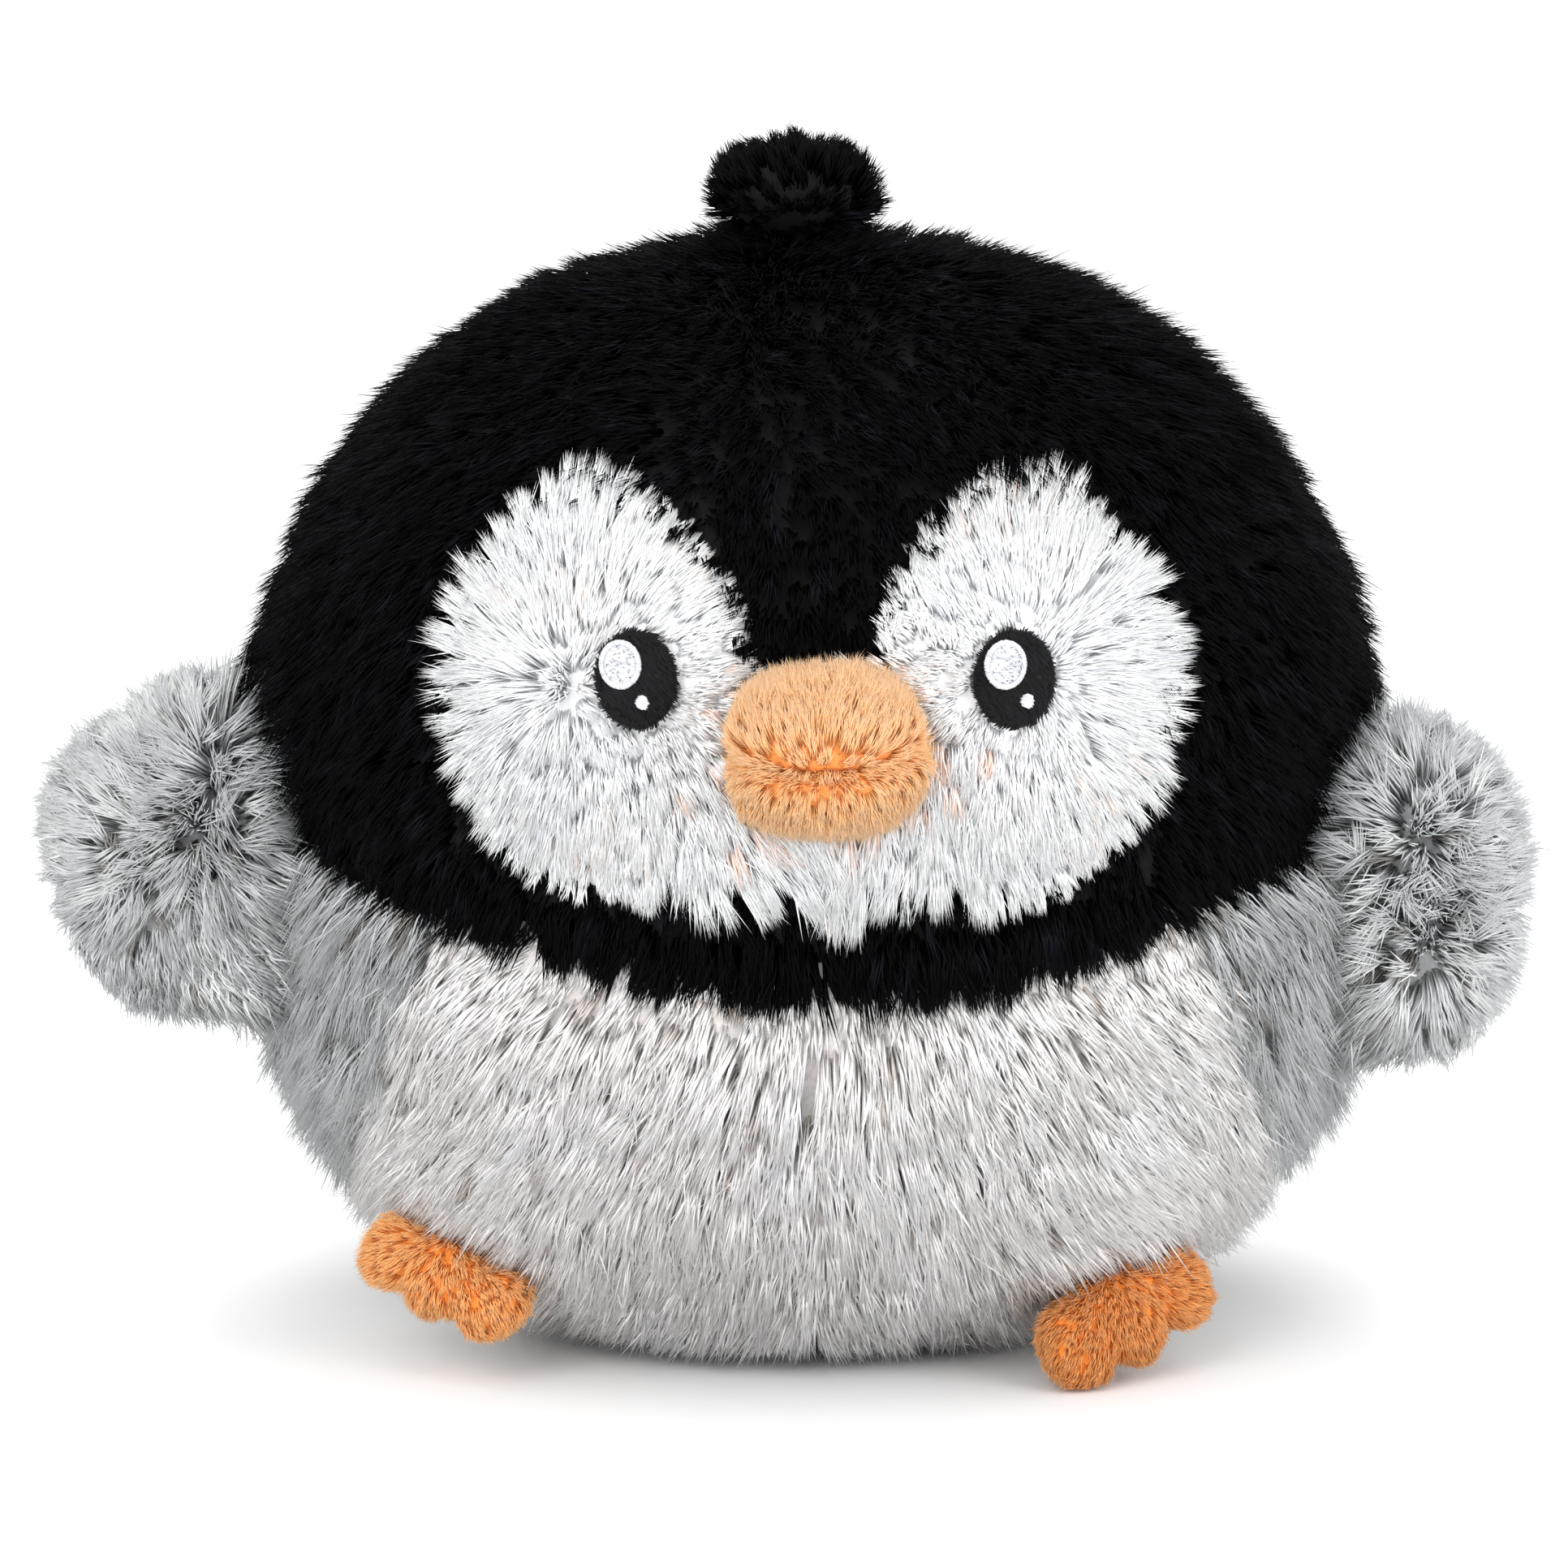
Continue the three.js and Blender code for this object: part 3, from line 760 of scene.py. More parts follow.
skin = linked("ball_skin", skin_mesh)
puff(skin, 1.5, pins=seam_depth / 1.6, pressure=4.0)
reshape(skin, lambda v: np.maximum(v, (-999.0, -999.0, 0.0)))
ball_surface = arrays(skin.data)

tri_panel = panel_of(ball_surface[0][ball_surface[2]].mean(1))
for number, panel in enumerate(PANELS):
    used, again = np.unique(ball_surface[2][tri_panel == number], return_inverse=True)
    mesh = bpy.data.meshes.new(panel + "_cloth")
    mesh.from_pydata((ball_surface[0][used] * MM).tolist(), [], again.reshape(-1, 3).tolist())
    mesh.update()
    cloth_panel(panel + "_cloth", mesh, PANEL_PILE[panel], "ball", [panel + "_panel"], 0.8, levels=0)
stuffing("body_fill", skin, 4.0, "ball", ["body_stuffing"], 11, fill=0.8)
discard(skin)
ball_tree = BVHTree.FromPolygons(ball_surface[0].tolist(), ball_surface[2].tolist())


def on_ball(p):
    """For each point the nearest place on the ball's skin, the normal there, and the mm outside it."""
    hits = [ball_tree.find_nearest(q)[:2] for q in p.tolist()]
    place, normal = (np.array([tuple(h[k]) for h in hits]) for k in (0, 1))
    return place, normal, ((p - place) * normal).sum(1)


def beside_ball(v):
    """Lays whatever would be inside the ball against its skin."""
    place, normal, off = on_ball(v)
    return np.where((off < 1.0)[:, None], place + normal, v)


# ---------------- pile on the ball
def at_beak(p):
    """How far inside the footprint of the beak: above 0 is under it."""
    x, y, z = p.T
    return 1 - np.sqrt(((x - BEAK_X) / 12.5) ** 2 + ((z - 105.5) / 9.0) ** 2) - 9.0 * (y > 0)


def at_eye(p):
    """Millimetres from the nearer eye patch's rim, above 0 outside it."""
    x = np.abs(p[:, 0] - FACE_X) - EYE_X
    q = np.sqrt((x / EYE_RX) ** 2 + ((p[:, 2] - EYE_Z) / EYE_RZ) ** 2)
    return np.where(p[:, 1] < 0, (q - 1) * EYE_RX, 99.0)


def keep_panel(*names, also=lambda p: True):
    """A test for points on some panels, outside the beak."""
    numbers = [PANELS.index(name) for name in names]
    return lambda p: np.isin(panel_of(p), numbers) & (at_beak(p) < 0) & also(p)


def half_of(sign, x=0.0):
    """A test for points to the left (-1) or right (1) of x."""
    return lambda p: (p[:, 0] - x) * sign > 0


def comb_face(p):
    """The left lobe spreads from a whorl outside the eye, the right one from the eye; both hang below."""
    x, z = p[:, 0] - FACE_X, p[:, 2] - EYE_Z
    to_right = ease(x, -9, 9)
    out = np.zeros((len(p), 3))
    for whorl_x, whorl_z, weight in ((-EYE_X - 12.0, -1.5, 1 - to_right), (EYE_X + 2.0, 0.0, to_right)):
        dx, dz = x - whorl_x, z - whorl_z
        away = np.hypot(dx, dz) + 3.0
        out[:, 0] += weight * dx / away
        out[:, 2] += weight * dz / away
    out[:, 0] *= 1 - 0.55 * to_right * ease(-x, -EYE_X, -EYE_X + 12) * ease(z, -4, 6)
    low = ease(-z, 2, 12) * (1 - ease(np.abs(x), 26, 44))
    out[:, 2] -= 0.9 * low + 0.05
    out[:, 0] += 0.45 * low * np.exp(-(((x - 6) / 16) ** 2))
    return out


def comb_hood(p):
    """Down from the crown, and away from the dart."""
    x, y, z = p.T
    out = unit(vectors(x + 2, y + 12, -55.0))
    dx, dz = x - DART[0], z - DART[1] - 4
    near = np.exp(-(dx**2 + dz**2) / 22.0**2) * (y < 0)
    away = np.hypot(dx, dz) + 3
    out[:, 0] += 1.1 * near * dx / away
    out[:, 2] += 0.7 * near * dz / away
    return out


def comb_down(spread):
    """Straight down, and outwards by spread for each mm from the middle."""
    return lambda p: vectors(spread * p[:, 0], 0.0, -1.0)


def comb_side(p):
    return vectors(0.35 * np.sign(p[:, 0]), 0.18, -1.0)


def comb_base(p):
    return vectors(p[:, 0], p[:, 1], -2.0)


def pinker(p, shade, rng):
    """Face fibres next to the beak take the peach end of the tones."""
    near = np.exp(-((np.hypot((p[:, 0] - BEAK_X) / 19, (p[:, 2] - 107) / 13)) ** 4))
    peach = rng.random(len(p)) < 0.5 * near
    return np.where(peach, 0.84 + 0.12 * rng.random(len(p)), np.clip(shade, 0.0, 0.8))


def painted_glints(p, shade, rng):
    """Painted glints: one lock in fourteen is painted bright, as if it caught the light."""
    return np.where(rng.random(len(p)) < 0.07, 0.97, np.clip(shade, 0.0, 0.85))


def face_length(p):
    x, z = p[:, 0] - FACE_X, p[:, 2]
    brow = np.exp(-(((np.abs(x) - 14) / 8) ** 2)) * ease(z, 104, 114)
    full = 8.6 + 2.4 * ease(-z, -108, -90)
    corner = 0.62 * ease(np.abs(x), 16, 38) * ease(-z, -104, -84)
    lean = 0.5 * ease(z, 126, 137) * np.where(x < 0, ease(x, -38, -25), ease(x, 34, 46))
    return full * (0.5 + 0.5 * ease(at_eye(p), 0.0, 6.0)) * (1 - 0.45 * brow) * (1 - corner) * (1 - lean)


def face_gather(p):
    return 0.1 + 0.5 * (1 - ease(in_face(p), 0.5, 6.0))


def face_rise(p):
    near = 1 - ease(at_eye(p), 0.0, 5.0)
    return 44 - 6 * near, 6.0


def cheek(p):
    """1 where the ball's sides are fullest, over the wings."""
    return np.exp(-(((p[:, 2] - 112) / 15) ** 2)) * ease(np.abs(p[:, 0]), 60, 86)


def centred(p):
    """1 under the face, less at the sides, where the hood's edge is neater."""
    return 1 - 0.65 * ease(np.abs(p[:, 0]), 25, 62)


def hem(p):
    return (1 - ease(in_hood(p), 0.0, 8.0)) * (0.25 + 0.75 * ease(-p[:, 1], 0, 40)) * centred(p)


def hood_length(p):
    edge = ease(-in_face(p), 0.0, 10.0)
    bulge = cheek(p) * np.where(p[:, 0] < 0, 4.5, 2.5) + 2.5 * ease(p[:, 0], 10, 50) * ease(p[:, 2], 135, 155)
    return 8.6 * (0.5 + 0.5 * edge) + 4.5 * hem(p) + bulge


def hood_rise(p):
    return 54 + 8 * cheek(p) + 4 * hem(p), 14 + 8 * cheek(p) - 22 * hem(p)


def hood_gather(p):
    return 0.22 + 0.5 * hem(p)


def belly_length(p):
    return 12.5 * (0.26 + 0.74 * ease(-in_hood(p), 1.0, 14.0))


def belly_rise(p):
    """The pile stands out more low at the sides, and over the feet, and covers their roots."""
    x, y, z = p.T
    over = np.exp(-(((np.abs(x) - 54) / 22) ** 2) - ((z - 30) / 14) ** 2) * (y < 0)
    flat = 1 - ease(-in_hood(p), 2.0, 14.0)
    return 46 + 16 * over - 26 * flat, 2 + 20 * over - 4 * flat


def side_rise(p):
    low = np.exp(-(((p[:, 2] - 40) / 22) ** 2))
    return 50 + 12 * low, 6 + 22 * low


def side_grey_and_shade(p, shade, rng):
    """The side and back panels are a darker grey than the wings: partly their own colour, partly painted shade,
    as they turn away from the light.
    """
    return np.clip(0.1 + 0.36 * shade, 0.1, 0.45)


FRONT_Y = 12.0
HOOD = dict(
    comb=comb_hood, slot="black_pile", body="ball", length=hood_length, rise=hood_rise, width=0.4,
    gather=hood_gather, swirl=16, swirl_wave=12.0, tone=painted_glints,
)
SIDE = dict(
    comb=comb_side, slot="grey_pile", body="ball", length=14.0, rise=side_rise, gather=0.4, swirl=12,
    swirl_wave=11.0, uneven=0.08, tone=side_grey_and_shade,
)
for side, sign in (("left", -1), ("right", 1)):
    on_lobe = half_of(sign, FACE_X)
    grow(
        f"face_pile_{side}", ball_surface,
        keep_panel("face", also=lambda p, lobe=on_lobe: (at_eye(p) > -0.2) & lobe(p)),
        comb_face, "white_pile", "ball", 100 + sign, spacing=1.9, fibres=29, length=face_length, rise=face_rise,
        width=0.4, gather=face_gather, swirl=9, swirl_wave=10.0, tone=pinker, stand=1.0, ruffle=0.42,
    )
    grow(
        f"hood_front_pile_{side}", ball_surface, keep_panel("hood_front", also=half_of(sign, DART[0])),
        seed=200 + sign, fibres=10, **HOOD,
    )
    grow(
        f"hood_back_pile_{side}", ball_surface, keep_panel(f"hood_back_{side}"),
        seed=210 + sign, spacing=2.3, fibres=8, **HOOD,
    )
    grow(
        f"belly_pile_{side}", ball_surface, keep_panel("belly", also=half_of(sign)), comb_down(0.0165),
        "light_grey_pile", "ball", 300 + sign, spacing=2.4, fibres=18, length=belly_length, rise=belly_rise,
        width=0.52, gather=0.2, swirl=10, swirl_wave=12.0, uneven=0.06, gap_shade=0.09, ruffle=0.45,
    )
    grow(
        f"side_pile_{side}", ball_surface, keep_panel(f"back_{side}", also=lambda p: p[:, 1] < FRONT_Y),
        seed=310 + sign, spacing=2.4, fibres=14, width=0.4, gap_shade=0.16, **SIDE,
    )
    grow(
        f"back_pile_{side}", ball_surface, keep_panel(f"back_{side}", also=lambda p: p[:, 1] >= FRONT_Y),
        seed=320 + sign, spacing=2.5, fibres=9, width=0.46, gap_shade=0.1, **SIDE,
    )
at_hem = keep_panel(*PANELS[:FACE], also=lambda p: (in_hood(p) < 4.5) & (p[:, 1] < 30))
grow(
    "hood_hem_pile", ball_surface, at_hem, comb_down(0.006), "black_pile", "ball", 220, spacing=3.6, fibres=56,
    length=lambda p: 4.5 + 5.5 * centred(p), rise=(50, -12), width=0.46, gather=0.12, swirl=7, swirl_wave=12.0,
    tone=painted_glints, stray=0.02, uneven=0.05, ruffle=0.9, loose=1.2,
)
grow(
    "base_pile", ball_surface, keep_panel("base"), comb_base, "grey_pile", "ball", 330,
    spacing=2.4, fibres=6, length=6.0, rise=(30, 0), width=0.5, gather=0.6,
)


# ---------------- wings, crest, feet, beak
def whorls(*centres):
    """Pile that spreads away from the nearer of some points."""

    def comb(p):
        total, weights = np.zeros((len(p), 3)), 1e-9
        for c in centres:
            away = p - np.array(c, float)
            far = np.linalg.norm(away, axis=1, keepdims=True)
            weight = np.exp(-far / 8.0)
            total += weight * away / (far + 7.0)
            weights = weights + weight
        return total / weights

    return comb


def wing_length(p):
    """Longer pile towards the ball, over the hinge."""
    return 10.0 + 4.5 * ease(-np.abs(p[:, 0]), -104, -92)


def side_of(point, normal, sign=1.0):
    return lambda p: ((p - point) @ normal) * sign > 0


def round_shape(middle, radii):
    """A full, even pad."""

    def change(v):
        q = unit((v - v.mean(axis=0)) / radii)
        return middle + np.sign(q) * np.abs(q) ** 0.72 * radii

    return change


def wing_shape(sign, inward, lean, lift):
    """Full towards the ball, and sloping off at the top outside."""

    def change(v):
        x = v[:, 0] * sign
        middle = (x.min() + x.max()) / 2
        t = (x - middle) / (x.max() - middle)
        slope = lean * np.maximum(v[:, 2] - 84, 0) ** 2 * ease(t, -0.6, 0.8)
        x = x + np.minimum(t, 0) * inward - slope
        y = v[:, 1] - 19.0 * ease(-t, 0.0, 1.2)
        z = v[:, 2] + lift * ease(-t, -0.2, 1.0) * ease(v[:, 2], 84, 104)
        return vectors(x * sign, y, z)

    return change


RIGHT_PAD = round_shape(np.array((96.8, -24.0, 74.8)), (13.4, 12.5, 23.0))
for side, sign, centres, shape in (
    ("left", -1, ((-110, -31, 79), (-99, -27, 94)), wing_shape(-1, 17.0, 0.03, 11.5)),
    ("right", 1, ((98, -34, 87), (101, -36, 66)), RIGHT_PAD),
):
    wing = f"{side}_wing"
    panels = [wing + "_front_panel", wing + "_back_panel"]
    body = closed_from(wing + "_skin", panels, 2.0, shrink=1.2)
    reshape(body, shape)
    puff(body, 1.5)
    reshape(body, beside_ball)
    seam = split_plane(*panels)
    surface = sewn(wing, ("front", "back"), body, seam, "grey_pile", wing, 3.0, 21)
    for half, way in (("front", 1.0), ("back", -1.0)):
        grow(
            f"{wing}_{half}_pile", surface,
            lambda p, front=side_of(*seam, way): front(p) & (on_ball(p)[2] > 2.0),
            whorls(*centres), "grey_pile", wing, 400 + 10 * sign + int(way), spacing=1.7, fibres=18, length=wing_length, rise=(44, 0),
            width=0.48, gather=0.16, swirl=12, swirl_wave=8.0, hug=0.03, uneven=0.05, gap_shade=0.05, stand=1.0,
            ruffle=0.55, loose=1.8,
        )

CREST_ROOT = np.array((-3.3, -12.0, 180.0))
body = closed_from("crest_skin", ["crest_front_panel", "crest_back_panel"], 1.6, shrink=0.8)
reshape(body, lambda v: (v - (-2.0, -12.0, 180.0)) * (1.02, 1.0, 1.0) + (-3.3, -12.0, 178.5))
puff(body, 1.0)
seam = split_plane("crest_front_panel", "crest_back_panel")
surface = sewn("crest", ("front", "back"), body, seam, "black_pile", "crest", 2.4, 22)
for half, way in (("front", 1.0), ("back", -1.0)):
    grow(
        f"crest_{half}_pile", surface, side_of(*seam, way), lambda p: p - CREST_ROOT, "black_pile", "crest",
        450 + int(way), spacing=1.9, fibres=18, length=6.0, rise=(60, 40), width=0.34, gather=0.5, swirl=22,
        tone=painted_glints,
    )

for side, pivot, shift, shrink in (
    ("left", (-57.1, -46.9, 22.7), 2.6, (0.95, 0.96, 0.86)),
    ("right", (47.1, -50.1, 17.4), -1.5, (1.0, 1.0, 1.0)),
):
    foot = f"{side}_foot"
    top, sole = foot + "_top_panel", foot + "_sole_panel"
    parts = [top, sole, foot + "_stuffing"]
    body = closed_from(foot + "_skin", parts, 1.2, smooth=14, hull=False, shrink=-0.2)
    reshape(body, lambda v, dx=shift, k=shrink: v.mean(axis=0) + (v - v.mean(axis=0)) * k + (dx, 0.0, 0.0))
    puff(body, 0.8)
    seam = split_plane(top, sole)
    surface = sewn(foot, ("top", "sole"), body, seam, "orange_pile", foot, 1.6, 23, thick=0.6)
    ankle = np.array(pivot)
    for half, way in (("top", 1.0), ("sole", -1.0)):
        grow(
            f"{foot}_{half}_pile", surface, side_of(*seam, way), lambda p, a=ankle: p - a,
            "orange_pile", foot, 500 + int(way) + 10 * (side == "left"), spacing=1.2, fibres=14, length=3.4,
            rise=(40, 6), width=0.22, gather=0.03, swirl=8, swirl_wave=9.0, stations=(0, 0.55, 1), stray=0.02,
            root=0.2, mottle=0.05, ruffle=0.3, loose=3.0,
            # painted shade: the right foot's pile is painted darker, as if it lay in shadow
            tone=lambda p, shade, rng, less=0.4 * (side == "right"): shade - less,
        )

def mouth_z(x):
    """Height of the crease between the lips, which turns up at both corners."""
    x = x - BEAK_X
    return MOUTH_Z + 0.011 * x**2 + 0.06 * x - 0.4


BEAK_MID, BEAK_RADII = np.array((BEAK_X, BEAK_Y, 106.0)), np.array((14.6, 18.0, 10.0))


def from_crease(p):
    return p[:, 2] - mouth_z(p[:, 0])


def comb_beak(p):
    return vectors((p[:, 0] - BEAK_X) / 20, 0.0, np.clip(from_crease(p) / 3.0, -1.0, 1.0))


def beak_length(p):
    return 3.0 + 2.2 * ease(np.abs(from_crease(p)), 0.5, 5)


def beak_rise(p):
    near = 1 - ease(np.abs(from_crease(p)), 0.3, 4.0)
    return 46 + 10 * near, 8 + 20 * near


def beak_tone(p, shade, rng):
    """Deeper orange along the crease: painted shade in the crease."""
    return np.clip(shade, 0.4, 1.0) * ease(np.abs(from_crease(p)), -1.6, 2.6)


def beak_shape(v):
    q = (v - BEAK_MID) / BEAK_RADII
    q = q / np.linalg.norm(q, axis=1, keepdims=True)
    v = BEAK_MID + q * BEAK_RADII
    corner = 1 + 0.9 * ease(-q[:, 0], 0.7, 1.0)
    groove = 1.7 * np.exp(-((from_crease(v) / 1.7) ** 2)) * (q[:, 1] < 0.2) * corner
    return v - unit(q / BEAK_RADII) * groove[:, None]


body = closed_from("beak_skin", ["beak_upper", "beak_lower", "beak_stuffing"], 1.1, smooth=6, hull=False)
reshape(body, beak_shape)
puff(body, 0.8)
seam = (np.array((BEAK_X, BEAK_Y, MOUTH_Z)), np.array((0.0, 0.0, 1.0)))
lips = ("upper", "lower")
surface = sewn("beak", lips, body, seam, "beak_pile", "ball", 1.8, 24, fill=0.7, thick=0.6, ending="")
for lobe, way in (("upper", 1.0), ("lower", -1.0)):
    grow(
        f"beak_{lobe}_pile", surface, lambda p, w=way: from_crease(p) * w > 0, comb_beak,
        "beak_pile", "ball", 550 + int(way), spacing=1.15, fibres=16, length=beak_length, rise=beak_rise,
        width=0.19, gather=0.08, swirl=8, swirl_wave=7.0, stations=(0, 0.5, 1), stray=0.02, root=0.2,
        tone=beak_tone, mottle=0.05, ruffle=0.35, loose=2.6, stand=0.5,
    )


# ---------------- embroidered eyes
# An ellipse on the face is (centre x, centre z, half width, half height).
def over_face(xz, lift):
    """Points lift mm above the ball's front at x, z."""
    p, n = front_point(xz[..., 0], xz[..., 1])
    return p + n * np.asarray(lift)[..., None]


def smaller(ellipse, by):
    cx, cz, rx, rz = ellipse
    return cx, cz, rx - by, rz - by


def dome(name, ellipse, low, high, slot, node, segments=48, rings=7):
    """A closed low dome over the face: the padding under the stitches."""
    cx, cz, rx, rz = ellipse
    a = np.linspace(0, 2 * math.pi, segments, endpoint=False)
    shares = [r / rings for r in range(1, rings + 1)]
    lifts = [(share, low + (high - low) * math.sqrt(max(1 - share**2.4, 0))) for share in shares]
    co = []
    for share, lift in lifts + [(1.0, low - 1.0)]:
        xz = np.stack([cx + rx * share * np.cos(a), cz + rz * share * np.sin(a)], -1)
        co.append(over_face(xz, np.full(segments, lift)))
    faces = []
    for r in range(rings):
        for j in range(segments):
            k = (j + 1) % segments
            faces.append((r * segments + j, r * segments + k, (r + 1) * segments + k, (r + 1) * segments + j))
    faces.append(tuple(range(segments))[::-1])
    faces.append(tuple(rings * segments + j for j in range(segments)))
    mesh = bpy.data.meshes.new(name)
    mesh.from_pydata((np.concatenate(co) * MM).tolist(), [], faces)
    bm = bmesh.new()
    bm.from_mesh(mesh)
    bmesh.ops.recalc_face_normals(bm, faces=bm.faces)
    bm.to_mesh(mesh)
    bm.free()
    smooth_faces(mesh)
    uv = mesh.uv_layers.new(name="OFBake")
    uv.data.foreach_set("uv", np.full(len(mesh.loops) * 2, 0.5, np.float32))
    declare(add_object(name, mesh, slot), slot, "ball", node)


def chords(ellipse, degrees, pitch, rng, ragged, pieces):
    """Fill stitches across an ellipse: start and end points of each."""
    cx, cz, rx, rz = ellipse
    angle = math.radians(degrees)
    d = np.array((math.cos(angle), math.sin(angle)))
    o = np.array((-d[1], d[0]))
    found = []
    for offset in np.arange(-max(rx, rz), max(rx, rz), pitch):
        a = (d[0] / rx) ** 2 + (d[1] / rz) ** 2
        b = 2 * offset * (d[0] * o[0] / rx**2 + d[1] * o[1] / rz**2)
        c = offset**2 * ((o[0] / rx) ** 2 + (o[1] / rz) ** 2) - 1
        disc = b * b - 4 * a * c
        if disc <= 0:
            continue
        lo, hi = (-b - math.sqrt(disc)) / (2 * a), (-b + math.sqrt(disc)) / (2 * a)
        lo -= ragged * rng.random()
        hi += ragged * rng.random()
        cuts = [lo, hi]
        if hi - lo > 2.5:
            cuts[1:1] = sorted(rng.uniform(lo + 0.2, hi - 0.2, pieces - 1))
        for s, e in zip(cuts[:-1], cuts[1:]):
            if e - s > 0.35:
                middle = np.array((cx, cz)) + o * offset
                found.append((middle + d * s, middle + d * e))
    return found


def rim(ellipse, pitch, inner, outer, lean, rng, ragged):
    """Satin stitches across an ellipse's edge, all the way round."""
    cx, cz, rx, rz = ellipse
    found = []
    steps = int(2 * math.pi * (rx + rz) / 2 / pitch)
    for a in np.linspace(0, 2 * math.pi, steps, endpoint=False):
        edge = np.array((rx * math.cos(a), rz * math.sin(a)))
        out = unit(np.array((math.cos(a) / rx, math.sin(a) / rz)))
        along = np.array((-out[1], out[0]))
        start = edge - out * inner + along * lean * inner
        end = edge + out * (outer + ragged * rng.random()) - along * lean * outer
        found.append((np.array((cx, cz)) + start, np.array((cx, cz)) + end))
    return found


def stitches(name, pairs, lift, arch, radius, slot, rng, tone=0.6):
    """Threads laid over the face between pairs of points, each arched and closed at both ends."""
    pairs = np.array(pairs)
    s = np.array((0.0, 0.12, 0.5, 0.88, 1.0))
    xz = pairs[:, None, 0] + (pairs[:, None, 1] - pairs[:, None, 0]) * s[None, :, None]
    rise = lift(xz) if callable(lift) else np.full(xz.shape[:2], lift)
    rise = rise + arch * np.array((-0.9, 0.3, 1.0, 0.3, -0.9)) * (1 + 0.25 * rng.normal(size=(len(pairs), 1)))
    path = over_face(xz, rise)
    rad = radius * np.array((0.5, 0.95, 1.0, 0.9))[None] * (0.85 + 0.3 * rng.random((len(pairs), 1)))
    across = unit(np.cross(path[:, -1] - path[:, 0], np.array((0.0, 1.0, 0.0))))
    tones = tone + 0.2 * rng.normal(size=len(pairs))
    declare(spikes(name, path, rad, tones, across, slot, rng, sides=5, flat=0.9), slot, "ball")


def dome_lift(ellipse, low, high):
    """The height of a dome over the face, which falls away outside its edge."""
    cx, cz, rx, rz = ellipse

    def lift(xz):
        q = ((xz[..., 0] - cx) / rx) ** 2 + ((xz[..., 1] - cz) / rz) ** 2
        inside = np.sqrt(np.maximum(1 - np.clip(q, 0, 1) ** 1.2, 0))
        return low + (high - low) * inside - 0.8 * np.maximum(np.sqrt(q) - 1, 0)

    return lift


BLACK, WHITE = "black_embroidery", "white_embroidery"
for side, sign in (("left", -1), ("right", 1)):
    rng = np.random.default_rng(600 + sign)
    eye = f"{side}_eye"
    cx, cz = FACE_X + sign * EYE_X, EYE_Z
    oval = smaller((cx, cz, EYE_RX, EYE_RZ), 0.25)
    dome(eye + "_pad", oval, 1.3, 2.6, BLACK, eye + "_patch")
    lift = dome_lift(oval, 1.3, 2.6)
    stitches(eye + "_fill_stitches", chords(oval, -52, 0.2, rng, 0.25, 4), lift, 0.12, 0.15, BLACK, rng)
    stitches(eye + "_rim_stitches", rim(oval, 0.26, 1.0, 0.1, 0.5, rng, 0.8), lift, 0.22, 0.14, BLACK, rng)
    oval = (cx - 1.9, cz + 2.0, 3.15, 3.55)
    dome(eye + "_highlight_pad", smaller(oval, 0.2), 2.35, 2.9, WHITE, eye + "_highlight")
    lift = dome_lift(oval, 2.55, 3.0)
    lines = chords(smaller(oval, 0.5), -12, 0.2, rng, 0.1, 3)
    stitches(eye + "_highlight_fill", lines, lift, 0.08, 0.13, WHITE, rng)
    lines = rim(oval, 0.17, 0.75, 0.0, 0.12, rng, 0.12)
    stitches(eye + "_highlight_rim", lines, lambda xz, under=lift: under(xz) + 0.25, 0.22, 0.12, WHITE, rng)
    gx, gz = cx + 1.4, cz - 3.4
    dome(eye + "_glint_pad", (gx, gz, 0.75, 0.8), 2.2, 2.75, WHITE, eye + "_glint", segments=20, rings=4)
    lines = chords((gx, gz, 0.95, 1.05), -24, 0.18, rng, 0.3, 1)
    stitches(eye + "_glint_stitches", lines, 2.85, 0.12, 0.12, WHITE, rng)


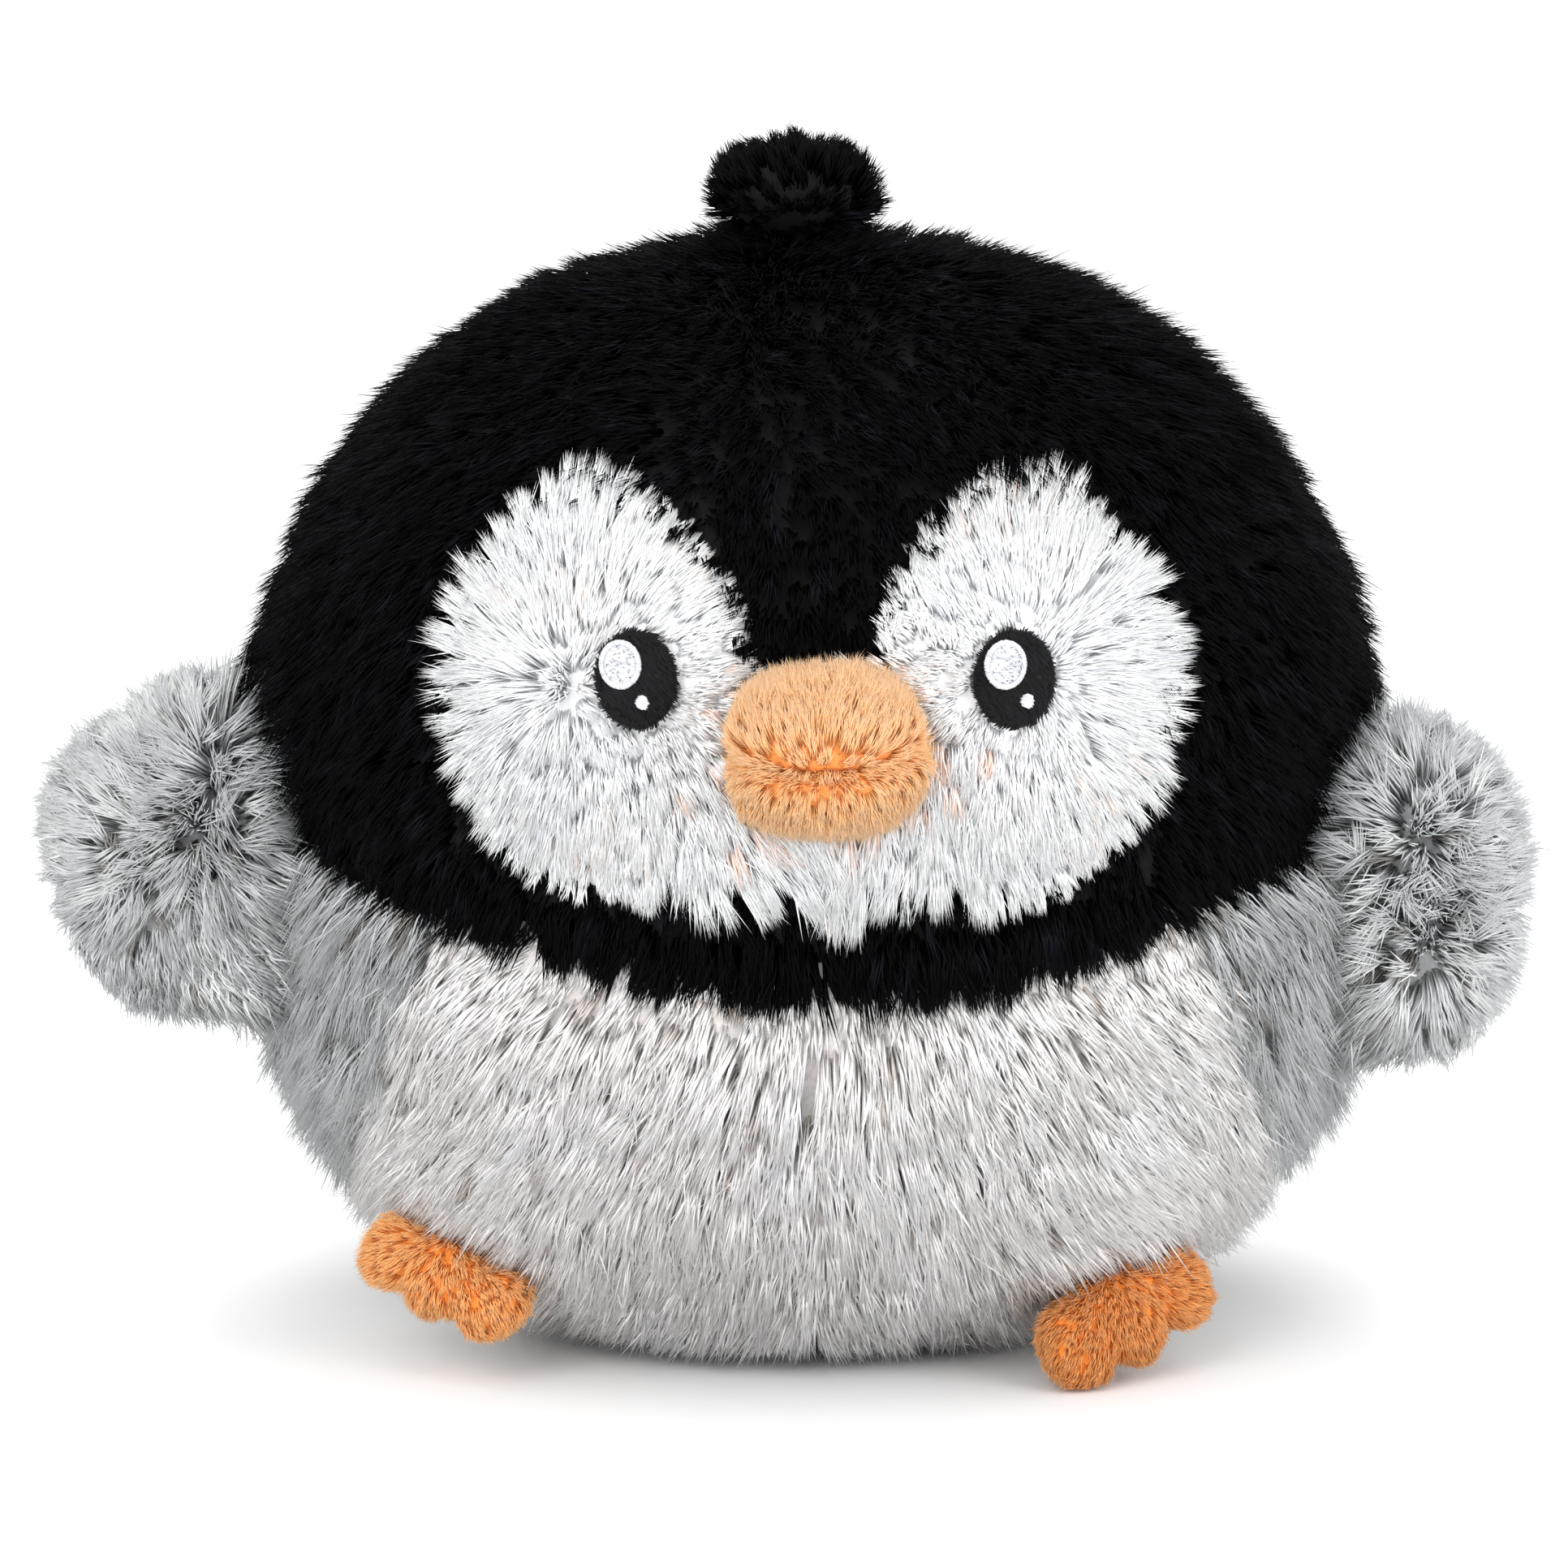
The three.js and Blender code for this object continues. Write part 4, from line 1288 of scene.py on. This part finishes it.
# ---------------- threads and the label
def tube(name, points, slot, node, radius=0.35, plies=2, turns=1.2):
    """A plied sewing thread along points, in mm, closed at both ends."""
    points = np.array(points, float)
    far = np.concatenate([[0], np.cumsum(np.linalg.norm(np.diff(points, axis=0), axis=1))])
    count = int(far[-1] / 0.25) + 4
    at = np.linspace(0, far[-1], count)
    line = np.stack([np.interp(at, far, points[:, i]) for i in range(3)], -1)
    d = unit(np.gradient(line, axis=0))
    side = unit(np.cross(d, (0.12, 0.9, 0.3)))
    up = np.cross(d, side)
    paths = []
    for ply in range(plies):
        a = at * turns * 2 + ply * 2 * math.pi / plies
        paths.append(line + radius * 0.5 * (side * np.cos(a)[:, None] + up * np.sin(a)[:, None]))
    rad = np.full((plies, count - 1), radius * 0.62)
    tones, across = np.linspace(0.4, 0.8, plies), side[:1].repeat(plies, 0)
    rng = np.random.default_rng(700)
    obj = spikes(name, np.array(paths), rad, tones, across, slot, rng, sides=6, flat=1.0)
    declare(obj, slot, "ball", node)


crease = np.array([(BEAK_X + 11.5 * t, BEAK_Y - 1.0, 0.0) for t in np.linspace(-1, 1, 41)])
crease[:, 2] = mouth_z(crease[:, 0])
share = ((crease - BEAK_MID) / BEAK_RADII)[:, (0, 2)]
crease[:, 1] = BEAK_Y - (BEAK_RADII[1] - 1.5) * np.sqrt(np.maximum(1 - (share**2).sum(1), 0.02))
tube("mouth_thread", crease, "orange_thread", "mouth_stitch")
zigzag = []
for i, z in enumerate(np.linspace(26, 58, 17)):
    y = float(half_width(np.array(z))) * HALF_D / HALF_W
    zigzag.append((1.5 if i % 2 else -1.5, y + 1.2, z))
tube("closing_thread", zigzag, "grey_thread", "closing_stitch")

lo, hi = (np.array(c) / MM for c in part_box("care_label"))
label_bm = bmesh.new()
bmesh.ops.create_grid(label_bm, x_segments=12, y_segments=17, size=0.5)
label_mesh = mesh_of("care_label_tape", label_bm)
flat = arrays(label_mesh)[0] * MM
centre = (lo + hi) / 2
tilt = math.radians(-15)
for vertex, (u, v, _) in zip(label_mesh.vertices, flat):
    x, y, z = 12.0 * u, 17.0 * v, 1.2 * math.sin((v + 0.5) * 2.4)
    vertex.co = (
        (centre[0] + x) * MM,
        (centre[1] + y * math.cos(tilt) - z * math.sin(tilt)) * MM,
        (centre[2] + y * math.sin(tilt) + z * math.cos(tilt) - 0.6) * MM,
    )
smooth_faces(label_mesh)
label = add_object("care_label_tape", label_mesh, "label_satin")
label.modifiers.new("Solidify", "SOLIDIFY").thickness = 0.3 * MM
declare(label, "label_satin", "ball", "care_label")

# ---------------- shoulders: cloth gussets across the wing hinges
for side in ("left", "right"):
    root = closed_from(f"{side}_shoulder_cloth", [f"{side}_wing_root"], 0.8, smooth=2)
    root.data.materials.clear()
    root.data.materials.append(M["grey_backing"])
    declare(root, "grey_pile", f"{side}_wing_hinge", f"{side}_wing_root", fill=0.3)
